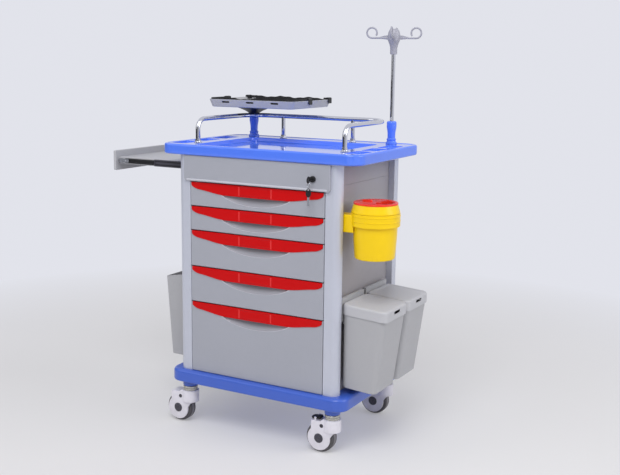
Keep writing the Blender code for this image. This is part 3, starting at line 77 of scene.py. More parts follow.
ORIGIN = Vector((0.08645, -0.0165, 0.0))
SMOOTH_ANGLE = math.radians(32)
HAIR = 1e-6
ON_LEVEL = 1e-5
GAP = 0.0003
SHEET_FACE = 0.2833
POST_FOOT = 0.9766
SLEEVE_TOP = 1.0543
WEFT_PITCH = 0.0011
WARP_PITCH = 0.0016
DIRT_COLOUR = (0.16, 0.145, 0.13, 1.0)
DIRT_TOP = 0.17
DIRT_RISE = 7.0
# Painted shade: how dark the colour grows at the back of a recess.
PAINTED_HOLLOW_SHADE = 0.52

Point = Sequence[float]
Profile = Sequence[tuple[float, float]]


def mirrored(profile: Profile) -> list[tuple[float, float]]:
    """A profile, followed by its mirror image below."""
    return [*profile, *((radius, -height) for radius, height in reversed(profile))]


def flipped(profile: Profile, side: int) -> list[tuple[float, float]]:
    """A profile whose heights point to one side, 1 or -1."""
    return [(radius, side * height) for radius, height in profile]


def linked(name: str, data: bpy.types.ID) -> bpy.types.Object:
    """A new object of some data, in the scene."""
    made = bpy.data.objects.new(name, data)
    bpy.context.scene.collection.objects.link(made)
    return made


class Grain(Enum):
    """The fine surface of a finish."""

    MOULDED = "moulded"
    POWDER = "powder"
    BRUSHED = "brushed"
    POLISHED = "polished"
    RUBBER = "rubber"
    WOVEN = "woven"


class Axis(Enum):
    """The axis that a round piece is turned about."""

    X = "X"
    Y = "Y"
    Z = "Z"


@dataclass(frozen=True)
class Finish:
    """A surface finish: its colour as written for a screen, its gloss and its grain.

    Where hollow isn't 0, the colour darkens over that depth behind the plane Y = face: painted shade in a
    recess.
    """

    name: str
    colour: tuple[int, int, int]
    roughness: float
    grain: Grain = Grain.MOULDED
    metallic: float = 0.0
    coat: float = 0.0
    grain_size: float = 0.0008
    grain_depth: float = 0.00004
    mottle: float = 0.05
    scuff: float = 0.10
    gloss: float = 0.5
    face: float = 0.0
    hollow: float = 0.0
    floor_dirt: float = 0.0

    def linear(self, share: float = 1.0) -> tuple[float, float, float, float]:
        """The colour as scene-linear light, times a share.

        Args:
            share: How bright the result is beside the written colour.

        Returns:
            Red, green, blue and alpha.
        """
        parts = []
        for value in self.colour:
            part = value / 255
            part = part / 12.92 if part <= 0.04045 else ((part + 0.055) / 1.055) ** 2.4
            parts.append(min(1.0, part * share))
        return (*parts, 1.0)


WORKTOP_BLUE = Finish(
    "worktop_blue", (86, 127, 244), 0.07, coat=0.15, grain_size=0.02, grain_depth=0.00001, scuff=0.03
)
BASE_BLUE = Finish("base_blue", (58, 95, 196), 0.30, coat=0.25, grain_size=0.0014, floor_dirt=0.25)
COLUMN_SILVER = Finish("column_silver", (196, 199, 212), 0.34, Grain.BRUSHED, metallic=0.25, coat=0.10)
PANEL_GREY = Finish("panel_grey", (160, 156, 161), 0.50, Grain.POWDER, grain_depth=0.00006)
FRONT_GREY = Finish("front_grey", (163, 165, 175), 0.40, Grain.POWDER, coat=0.08, grain_depth=0.00004)
# The drawer front's grey, with painted shade that darkens into the finger scoop.
SCOOP_PAINTED_SHADE_GREY = replace(FRONT_GREY, name="scoop_painted_shade_grey", face=-0.230, hollow=0.015)
# A painted highlight: the front grey made paler and glossier for rolled edges that catch the light.
PALE_BEAD_PAINTED_HIGHLIGHT = Finish("fascia_bead", (188, 190, 199), 0.32, Grain.POWDER, coat=0.15, grain_depth=0.00002)
BOX_GREY = Finish("box_grey", (190, 191, 196), 0.48)
HANDLE_RED = Finish("handle_red", (200, 5, 9), 0.34, grain_size=0.003, grain_depth=0.00002, gloss=0.14)
# A painted highlight: the grip's red made lighter on the raised ribs.
RIB_RED_PAINTED_HIGHLIGHT = Finish("rib_red_painted_highlight", (222, 46, 46), 0.30, coat=0.10, grain_size=0.003, grain_depth=0.00002, gloss=0.3)
WINDOW_RED = Finish("window_red", (176, 14, 20), 0.12, grain_size=0.006, grain_depth=0.00001, gloss=0.3)
CHROME = Finish("chrome", (210, 211, 217), 0.08, Grain.POLISHED, metallic=1.0)
STEEL = Finish("steel", (176, 178, 184), 0.26, Grain.BRUSHED, metallic=1.0)
CASTER_WHITE = Finish("caster_white", (232, 229, 238), 0.30, coat=0.15, floor_dirt=0.35)
CASTER_RING = Finish("caster_ring", (186, 184, 176), 0.26, Grain.BRUSHED, metallic=0.6)
CAP_GREY = Finish("cap_grey", (64, 62, 72), 0.38)
TYRE_GREY = Finish("tyre_grey", (72, 71, 77), 0.68, Grain.RUBBER, floor_dirt=0.45)
TREAD_GREY = Finish("tread_grey", (128, 126, 132), 0.62, Grain.RUBBER, floor_dirt=0.45)
BLACK_PLASTIC = Finish("black_plastic", (26, 26, 29), 0.42, grain_depth=0.00006, gloss=0.35)
STRAP_BLACK = Finish("strap_black", (24, 24, 27), 0.80, Grain.WOVEN)
HEAD_GREY = Finish("head_grey", (160, 160, 172), 0.40)
TRAY_GREY = Finish("tray_grey", (182, 182, 187), 0.44)
BIN_GREY = Finish("bin_grey", (173, 173, 177), 0.46, grain_depth=0.00006)
# Painted light: the same bin plastic made paler, because the lid's top catches more light.
BIN_LID_PAINTED_LIGHT_GREY = replace(BIN_GREY, name="bin_lid_painted_light_grey", colour=(187, 187, 192))
SHARPS_YELLOW = Finish("sharps_yellow", (246, 206, 14), 0.30, gloss=0.3)
LID_RED = Finish("lid_red", (240, 58, 40), 0.26, coat=0.10, gloss=0.35)


class Value:
    """A shader socket that takes part in sums: each operator adds one Math node."""

    def __init__(self, graph: "Graph", socket: bpy.types.NodeSocket) -> None:
        self.graph = graph
        self.socket = socket

    def _sum(self, operation: str, first: "Value | float", second: "Value | float") -> "Value":
        """Adds one Math node.

        Args:
            operation: The node's operation.
            first: The first number or socket.
            second: The second number or socket.

        Returns:
            The node's result.
        """
        settings = {"operation": operation}
        node = self.graph.node("ShaderNodeMath", settings, {0: first, 1: second})
        return Value(self.graph, node.outputs[0])

    def __add__(self, other: "Value | float") -> "Value":
        """Self plus other."""
        return self._sum("ADD", self, other)

    def __sub__(self, other: "Value | float") -> "Value":
        """Self minus other."""
        return self._sum("SUBTRACT", self, other)

    def __rsub__(self, other: "Value | float") -> "Value":
        """Other minus self."""
        return self._sum("SUBTRACT", other, self)

    def __mul__(self, other: "Value | float") -> "Value":
        """Self times other."""
        return self._sum("MULTIPLY", self, other)

    def __pow__(self, other: "Value | float") -> "Value":
        """Self to a power."""
        return self._sum("POWER", self, other)

    def kept(self, low: float, high: float) -> "Value":
        """Self, held between two numbers."""
        return self._sum("MINIMUM", self._sum("MAXIMUM", self, low), high)


class Graph:
    """A node tree in the making."""

    def __init__(self, tree: bpy.types.NodeTree) -> None:
        self.tree = tree

    def node(self, kind: str, settings: dict, sockets: dict) -> bpy.types.Node:
        """Adds any node.

        Args:
            kind: The node's type.
            settings: The node's own settings, which are set first.
            sockets: A value or a link for each input, by its name, identifier or number.

        Returns:
            The node.
        """
        made = self.tree.nodes.new(kind)
        for key, value in settings.items():
            setattr(made, key, value)
        for key, value in sockets.items():
            self.feed(self.socket(made, key), value)
        return made

    def socket(self, node: bpy.types.Node, key: str | int) -> bpy.types.NodeSocket:
        """An input of a node, by number, identifier or name."""
        if isinstance(key, int):
            return node.inputs[key]
        named = [item for item in node.inputs if item.identifier == key or item.name == key]
        return named[0]

    def feed(self, socket: bpy.types.NodeSocket, value: object) -> None:
        """Links a socket to another, or sets it to a plain value."""
        if isinstance(value, Value):
            value = value.socket
        if isinstance(value, bpy.types.NodeSocket):
            self.tree.links.new(value, socket)
        else:
            socket.default_value = value

    def rays(self, *kinds: str) -> Value:
        """1 for rays of some kinds and 0 for the rest."""
        path = self.node("ShaderNodeLightPath", {}, {})
        first, *others = (Value(self, path.outputs[kind]) for kind in kinds)
        for other in others:
            first = first + other
        return first.kept(0.0, 1.0)


class Shader(Graph):
    """One material in the making, with a Principled surface."""

    def __init__(self, name: str) -> None:
        self.material = bpy.data.materials.new(name)
        self.material.use_nodes = True
        super().__init__(self.material.node_tree)
        self.surface = self.tree.nodes["Principled BSDF"]

    def place(self, stretch: Point = (1.0, 1.0, 1.0)) -> bpy.types.NodeSocket:
        """The point on the object, stretched along its axes."""
        where = self.node("ShaderNodeTexCoord", {}, {})
        sockets = {"Vector": where.outputs["Object"], "Scale": tuple(stretch)}
        mapped = self.node("ShaderNodeMapping", {}, sockets)
        return mapped.outputs["Vector"]

    def axis(self, name: str) -> Value:
        """One coordinate of the point on the object."""
        parts = self.node("ShaderNodeSeparateXYZ", {}, {"Vector": self.place()})
        return Value(self, parts.outputs[name])

    def noise(self, size: float, detail: float = 2.0, stretch: Point = (1.0, 1.0, 1.0)) -> Value:
        """Soft noise from 0 to 1.

        Args:
            size: The size of its blots in metres.
            detail: The number of finer layers.
            stretch: How much finer it is along each axis.

        Returns:
            The noise's value.
        """
        sockets = {"Vector": self.place(stretch), "Scale": 1.0 / size, "Detail": detail}
        made = self.node("ShaderNodeTexNoise", {}, sockets)
        return Value(self, made.outputs[0])

    def bands(self, pitch: float, direction: str) -> Value:
        """Even bands from 0 to 1 along one axis of the object."""
        settings = {"wave_type": "BANDS", "bands_direction": direction}
        sockets = {"Vector": self.place(), "Scale": math.pi / 10 / pitch}
        made = self.node("ShaderNodeTexWave", settings, sockets)
        return Value(self, made.outputs["Fac"])

    def blend(self, first: object, second: object, share: Value) -> bpy.types.NodeSocket:
        """The first colour, giving way to the second by a share."""
        sockets = {"Factor_Float": share, "A_Color": first, "B_Color": second}
        made = self.node("ShaderNodeMix", {"data_type": "RGBA"}, sockets)
        return made.outputs[2]

    def bump(self, height: Value, depth: float) -> None:
        """Feeds a bump of some metres' depth to the surface."""
        made = self.node("ShaderNodeBump", {}, {"Strength": 1.0, "Distance": depth, "Height": height})
        self.feed(self.surface.inputs["Normal"], made.outputs["Normal"])


class Palette:
    """Makes each finish's material on first use."""

    def __init__(self) -> None:
        self.made: dict[str, bpy.types.Material] = {}

    def get(self, finish: Finish) -> bpy.types.Material:
        """The material of a finish."""
        if finish.name not in self.made:
            self.made[finish.name] = self.mix(finish)
        return self.made[finish.name]

    def mix(self, finish: Finish) -> bpy.types.Material:
        """Builds the nodes of a finish: its blotches, scuffs, painted shade in hollows, floor dirt and grain.

        Args:
            finish: The finish.

        Returns:
            The material.
        """
        shader = Shader(f"look_{finish.name}")
        surface = shader.surface
        surface.inputs["Metallic"].default_value = finish.metallic
        surface.inputs["Specular IOR Level"].default_value = finish.gloss
        surface.inputs["Coat Weight"].default_value = finish.coat
        surface.inputs["Coat Roughness"].default_value = 0.05
        cloud = shader.noise(0.18, 3.0)
        speck = shader.noise(0.012, 4.0)
        tone = (cloud * 0.65 + speck * 0.35).kept(0.0, 1.0)
        darker, lighter = finish.linear(1 - finish.mottle), finish.linear(1 + finish.mottle)
        colour = shader.blend(darker, lighter, tone)
        scuffs = ((shader.noise(0.045, 5.0, (1.0, 1.0, 3.0)) - 0.56) * 6.0).kept(0.0, 1.0)
        # Painted shade: the colour darkens with depth behind the plane Y = face, standing in for the shadow
        # inside a recess.
        if finish.hollow:
            depth = ((shader.axis("Y") - (finish.face + ORIGIN.y)) * (1 / finish.hollow)).kept(0.0, 1.0)
            colour = shader.blend(colour, finish.linear(PAINTED_HOLLOW_SHADE), depth ** 1.3)
        if finish.floor_dirt:
            low = ((DIRT_TOP - shader.axis("Z")) * DIRT_RISE).kept(0.0, 1.0)
            dirt = low * shader.noise(0.02, 5.0) * finish.floor_dirt
            colour = shader.blend(colour, DIRT_COLOUR, dirt)
            scuffs = scuffs + dirt
        if finish.grain is Grain.WOVEN:
            weave = shader.bands(WEFT_PITCH, "Y") * 0.6 + shader.bands(WARP_PITCH, "X") * 0.4
            colour = shader.blend(finish.linear(0.55), finish.linear(1.9), weave)
        shader.feed(surface.inputs["Base Color"], colour)
        smudge = shader.noise(0.03, 4.0)
        rough = scuffs * finish.scuff + smudge * 0.06 + (finish.roughness - 0.03)
        shader.feed(surface.inputs["Roughness"], rough.kept(0.03, 0.95))
        shader.bump(self.relief(shader, finish), finish.grain_depth)
        return shader.material

    def relief(self, shader: Shader, finish: Finish) -> Value:
        """The height pattern of a finish's grain.

        Args:
            shader: The material in the making.
            finish: The finish.

        Returns:
            A height from 0 to 1.
        """
        size = finish.grain_size
        if finish.grain is Grain.POWDER:
            return shader.noise(size * 1.8, 3.0) * 0.7 + shader.noise(size * 0.6, 1.0) * 0.3
        if finish.grain is Grain.BRUSHED:
            return shader.noise(size * 0.8, 3.0, (1.0, 1.0, 0.02)) * 0.6
        if finish.grain is Grain.POLISHED:
            return shader.noise(0.02, 2.0) * 0.05
        if finish.grain is Grain.RUBBER:
            return shader.noise(size * 0.9, 4.0)
        if finish.grain is Grain.WOVEN:
            return shader.bands(WEFT_PITCH, "Y") + shader.bands(WARP_PITCH, "X")
        return shader.noise(size, 2.0) * 0.6 + shader.noise(size * 8.0, 2.0) * 0.4


class Form:
    """A mesh in the making, drawn out of simple shapes by mesh operators."""

    def __init__(self) -> None:
        self.bm = bmesh.new()

    @classmethod
    def block(cls, low: Point, high: Point, corner: float = 0.0, steps: int = 8) -> "Form":
        """A box between two corners.

        Args:
            low: The lowest corner.
            high: The highest corner.
            corner: The radius of its four uprights.
            steps: The facets of each upright's round.

        Returns:
            The form.
        """
        made = cls()
        low, high = Vector(low), Vector(high)
        bmesh.ops.create_cube(made.bm, size=1.0)
        bmesh.ops.scale(made.bm, vec=high - low, verts=made.bm.verts)
        bmesh.ops.translate(made.bm, vec=(low + high) / 2, verts=made.bm.verts)
        if corner:
            made.bevel(made.along(Axis.Z), corner, steps)
        return made

    @classmethod
    def prism(cls, outline: Profile, axis: Axis, span: tuple[float, float]) -> "Form":
        """A closed outline drawn out along an axis.

        Args:
            outline: Its corners, on XZ for the Y axis, and on YZ for the X axis.
            axis: The axis.
            span: Where it starts and ends on that axis.

        Returns:
            The form.
        """
        made = cls()
        start, end = span
        placed = {
            Axis.X: lambda u, v: (start, u, v),
            Axis.Y: lambda u, v: (u, start, v),
            Axis.Z: lambda u, v: (u, v, start),
        }[axis]
        verts = [made.bm.verts.new(placed(u, v)) for u, v in outline]
        face = made.bm.faces.new(verts)
        drawn = bmesh.ops.extrude_face_region(made.bm, geom=[face], use_keep_orig=True)["geom"]
        moved = [item for item in drawn if isinstance(item, bmesh.types.BMVert)]
        shift = Vector([float(axis.value == name) for name in "XYZ"]) * (end - start)
        bmesh.ops.translate(made.bm, vec=shift, verts=moved)
        made.outward()
        return made

    @classmethod
    def turned(
        cls, profile: Profile, centre: Point = (0, 0, 0), axis: Axis = Axis.Z, steps: int = 48
    ) -> "Form":
        """A profile of radius and height turned about an axis.

        Args:
            profile: Radius and height of each point along the outside.
            centre: The point that the heights start from.
            axis: The axis it is turned about.
            steps: The number of facets.

        Returns:
            The form.
        """
        made = cls()
        verts = [made.bm.verts.new((radius, 0.0, height)) for radius, height in profile]
        edges = [made.bm.edges.new(pair) for pair in zip(verts, verts[1:])]
        if profile[0][0] > HAIR and profile[-1][0] > HAIR:
            edges.append(made.bm.edges.new((verts[-1], verts[0])))
        bmesh.ops.spin(
            made.bm,
            geom=verts + edges,
            cent=(0, 0, 0),
            axis=(0, 0, 1),
            dvec=(0, 0, 0),
            angle=math.tau,
            steps=steps,
            use_merge=True,
            use_duplicate=False,
        )
        bmesh.ops.remove_doubles(made.bm, verts=made.bm.verts, dist=HAIR)
        made.outward()
        turn = {Axis.X: (math.pi / 2, "Y"), Axis.Y: (-math.pi / 2, "X"), Axis.Z: (0.0, "Z")}[axis]
        made.bm.transform(Matrix.Rotation(turn[0], 4, turn[1]))
        return made.moved(centre)

    @classmethod
    def rod(cls, radius: float, ends: tuple[float, float], centre: Point, axis: Axis, steps: int) -> "Form":
        """A plain round rod between two heights along an axis."""
        start, end = ends
        return cls.turned([(0.0, start), (radius, start), (radius, end), (0.0, end)], centre, axis, steps)

    @classmethod
    def ball(cls, centre: Point, radii: Point, steps: int = 48) -> "Form":
        """A round body with its own radius along each axis."""
        made = cls()
        bmesh.ops.create_uvsphere(made.bm, u_segments=steps, v_segments=steps // 2, radius=1.0)
        bmesh.ops.scale(made.bm, vec=radii, verts=made.bm.verts)
        return made.moved(centre)

    def moved(self, shift: Point) -> "Form":
        """The form, moved."""
        bmesh.ops.translate(self.bm, vec=Vector(shift), verts=self.bm.verts)
        return self

    def tilted(self, angle: float, axis: Axis, about: Point) -> "Form":
        """The form, turned by an angle about a point."""
        turn = Matrix.Rotation(angle, 3, axis.value)
        bmesh.ops.rotate(self.bm, cent=Vector(about), matrix=turn, verts=self.bm.verts)
        return self

    def leaned(self, slope: float, edge: float) -> "Form":
        """Lowers the form with the distance along X from an edge."""
        for vert in self.bm.verts:
            vert.co.z -= slope * (vert.co.x - edge)
        return self

    def outward(self) -> "Form":
        """The form, with its faces pointing outwards."""
        bmesh.ops.recalc_face_normals(self.bm, faces=self.bm.faces)
        return self

    def along(self, axis: Axis) -> list[bmesh.types.BMEdge]:
        """The edges that run along an axis."""
        way = Vector([float(axis.value == name) for name in "XYZ"])
        found = []
        for edge in self.bm.edges:
            run = edge.verts[1].co - edge.verts[0].co
            if run.length > HAIR and abs(run.normalized().dot(way)) > 0.999:
                found.append(edge)
        return found

    def sharp(self, angle: float = 0.7) -> list[bmesh.types.BMEdge]:
        """The edges between faces that turn by more than an angle."""
        return [edge for edge in self.bm.edges if edge.is_manifold and edge.calc_face_angle(0.0) > angle]

    def ridge(self, angle: float, test: Callable[[Vector], bool]) -> list[bmesh.types.BMEdge]:
        """The sharp edges whose two ends both pass a test."""
        return [edge for edge in self.sharp(angle) if all(test(vert.co) for vert in edge.verts)]

    def bevel(self, edges: Iterable[bmesh.types.BMEdge], radius: float, segments: int = 3) -> "Form":
        """Rounds some edges."""
        bmesh.ops.bevel(
            self.bm,
            geom=list(edges),
            offset=radius,
            offset_type="OFFSET",
            segments=segments,
            profile=0.5,
            affect="EDGES",
            clamp_overlap=True,
            material=-1,
        )
        return self

    def cap(self, way: Point) -> bmesh.types.BMFace:
        """The largest of the furthest faces that look a way."""
        way = Vector(way)
        self.bm.normal_update()
        facing = [face for face in self.bm.faces if face.normal.dot(way) > 0.95]
        reach = max(face.calc_center_median().dot(way) for face in facing)
        furthest = [face for face in facing if face.calc_center_median().dot(way) > reach - 1e-4]
        return max(furthest, key=lambda face: face.calc_area())

    def step(self, face: bmesh.types.BMFace, *steps: tuple[float, float]) -> bmesh.types.BMFace:
        """Draws a face inwards and outwards along its normal, step by step.

        Args:
            face: The face.
            steps: How far it goes in from its edge, and then along its normal, at each step.

        Returns:
            The same face in its new place.
        """
        for inward, along in steps:
            bmesh.ops.inset_region(
                self.bm,
                faces=[face],
                thickness=inward,
                depth=along,
                use_even_offset=True,
                use_boundary=True,
            )
        return face

    def fit(self, face: bmesh.types.BMFace, low: Point, high: Point) -> bmesh.types.BMFace:
        """Stretches a level face to a new rectangle."""
        verts = list(face.verts)
        old_low = [min(vert.co[i] for vert in verts) for i in (0, 1)]
        old_high = [max(vert.co[i] for vert in verts) for i in (0, 1)]
        scale = [(high[i] - low[i]) / (old_high[i] - old_low[i]) for i in (0, 1)]
        for vert in verts:
            for i in (0, 1):
                vert.co[i] = low[i] + (vert.co[i] - old_low[i]) * scale[i]
        return face

    def joined(self, *others: "Form") -> "Form":
        """The form with others laid in beside it."""
        for other in others:
            mesh = other.mesh("part")
            self.bm.from_mesh(mesh)
            bpy.data.meshes.remove(mesh)
        return self

    def combined(self, operation: str, *tools: "Form") -> "Form":
        """The form after Booleans with others.

        Args:
            operation: DIFFERENCE to cut, or UNION to weld on.
            tools: The other forms.

        Returns:
            The form.
        """
        target = linked("target", self.mesh("target"))
        helpers = [linked("tool", tool.mesh("tool")) for tool in tools]
        for helper in helpers:
            modifier = target.modifiers.new("cut", "BOOLEAN")
            modifier.operation = operation
            modifier.solver = "EXACT"
            modifier.object = helper
        bpy.context.view_layer.update()
        graph = bpy.context.evaluated_depsgraph_get()
        mesh = bpy.data.meshes.new_from_object(target.evaluated_get(graph))
        self.bm = bmesh.new()
        self.bm.from_mesh(mesh)
        bpy.data.meshes.remove(mesh)
        for item in [target, *helpers]:
            data = item.data
            bpy.data.objects.remove(item)
            bpy.data.meshes.remove(data)
        bmesh.ops.remove_doubles(self.bm, verts=self.bm.verts, dist=2e-6)
        return self

    def cut(self, *tools: "Form") -> "Form":
        """The form with others cut from it."""
        return self.combined("DIFFERENCE", *tools)

    def welded(self, *tools: "Form") -> "Form":
        """The form with others made one with it."""
        return self.combined("UNION", *tools)

    def mesh(self, name: str) -> bpy.types.Mesh:
        """The form as a mesh. The form itself is let go."""
        made = bpy.data.meshes.new(name)
        self.bm.to_mesh(made)
        self.bm.free()
        return made


class Bar:
    """A round bar that is drawn straight and bent, as on a tube bender."""

    def __init__(self, start: Point, way: Point, radius: float, sides: int = 20) -> None:
        self.form = Form()
        self.way = Vector(way).normalized()
        self.at = Vector(start)
        turn = Vector((0, 0, 1)).rotation_difference(self.way).to_matrix().to_4x4()
        placed = Matrix.Translation(self.at) @ turn
        bmesh.ops.create_circle(self.form.bm, cap_ends=True, radius=radius, segments=sides, matrix=placed)
        self.ring = list(self.form.bm.edges)

    def straight(self, length: float) -> "Bar":
        """Draws the bar on by a length."""
        drawn = bmesh.ops.extrude_edge_only(self.form.bm, edges=self.ring)["geom"]
        verts = [item for item in drawn if isinstance(item, bmesh.types.BMVert)]
        bmesh.ops.translate(self.form.bm, vec=self.way * length, verts=verts)
        edges = [item for item in drawn if isinstance(item, bmesh.types.BMEdge)]
        self.ring = [edge for edge in edges if set(edge.verts) <= set(verts)]
        self.at += self.way * length
        return self

    def bend(self, towards: Point, radius: float, angle: float, steps: int = 10) -> "Bar":
        """Bends the bar.

        Args:
            towards: The side that it bends to.
            radius: The bend's radius on the bar's middle line.
            angle: How far it turns.
            steps: The number of facets.

        Returns:
            The bar.
        """
        side = Vector(towards)
        side = (side - self.way * side.dot(self.way)).normalized()
        centre = self.at + side * radius
        axis = self.way.cross(side)
        spun = bmesh.ops.spin(
            self.form.bm,
            geom=self.ring,
            cent=centre,
            axis=axis,
            dvec=(0, 0, 0),
            angle=angle,
            steps=steps,
            use_merge=False,
            use_duplicate=False,
        )["geom_last"]
        self.ring = [item for item in spun if isinstance(item, bmesh.types.BMEdge)]
        turn = Matrix.Rotation(angle, 3, axis)
        self.at = centre + turn @ (self.at - centre)
        self.way = turn @ self.way
        return self

    def ended(self) -> Form:
        """The bar as a closed form."""
        bmesh.ops.contextual_create(self.form.bm, geom=self.ring)
        bmesh.ops.remove_doubles(self.form.bm, verts=self.form.bm.verts, dist=HAIR)
        return self.form.outward()


@dataclass
class Workshop:
    """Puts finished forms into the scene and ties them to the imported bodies."""

    frame: dict
    palette: Palette = field(default_factory=Palette)

    def piece(
        self,
        name: str,
        form: Form,
        finish: Finish,
        body: str = "cabinet",
        replaces: Sequence[str] = (),
        slot: str | None = None,
    ) -> bpy.types.Object:
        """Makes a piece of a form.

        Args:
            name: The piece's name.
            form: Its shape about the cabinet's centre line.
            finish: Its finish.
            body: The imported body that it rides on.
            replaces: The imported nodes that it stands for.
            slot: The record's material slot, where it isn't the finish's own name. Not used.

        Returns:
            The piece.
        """
        form.moved(ORIGIN)
        mesh = form.mesh(name)
        mesh.shade_smooth()
        mesh.set_sharp_from_angle(angle=SMOOTH_ANGLE)
        mesh.materials.append(self.palette.get(finish))
        made = linked(name, mesh)
        made.modifiers.new("even_shading", "WEIGHTED_NORMAL").keep_sharp = True
        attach(made, body)
        if replaces:
            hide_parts(*replaces)
        LOG.info("%s: %d faces on %s", name, len(mesh.polygons), body)
        return made

    def dress(self, finish: Finish, *nodes: str) -> None:
        """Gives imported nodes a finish."""
        for node in nodes:
            slots = self.frame["nodes"][node].data.materials
            slots.clear()
            slots.append(self.palette.get(finish))
            LOG.info("%s: dressed in %s", node, finish.name)


@dataclass
class Base:
    """The blue base moulding, hollow below, with a boss over each caster."""

    shop: Workshop
    half: tuple[float, float] = (0.340, 0.250)
    low: float = 0.155
    high: float = 0.198
    corner: float = 0.045
    places: tuple[tuple[float, float], ...] = (
        (-0.2805, -0.205), (0.2805, -0.205), (-0.2805, 0.205), (0.2805, 0.205)
    )
    boss: float = 0.026
    boss_low: float = 0.1338

    def build(self) -> None:
        """Makes the moulding and its bosses as one piece."""
        x, y = self.half
        form = Form.block((-x, -y, self.low), (x, y, self.high), self.corner, 12)
        form.bevel(form.cap((0, 0, 1)).edges, 0.011, 5)
        form.bevel(form.cap((0, 0, -1)).edges, 0.005, 3)
        form.step(form.cap((0, 0, -1)), (0.002, 0.0), (0.0008, -0.002), (0.001, -0.034), (0.003, -0.0015))
        form.step(form.cap((0, 0, 1)), (0.010, 0.0), (0.0012, 0.0006), (0.004, 0.0))
        r, low = self.boss, self.boss_low
        profile = [(0.0, 0.194), (r + 0.004, 0.194), (r + 0.004, self.low + 0.002), (r, self.low - 0.003)]
        profile += [(r, low + 0.003), (r - 0.001, low + 0.0008), (r - 0.003, low)]
        profile += [(0.0068, low), (0.0068, 0.171), (0.0, 0.171)]
        form.joined(*(Form.turned(profile, (*place, 0.0)) for place in self.places))
        self.shop.piece("base_moulding", form, BASE_BLUE, replaces=["base_tray"])


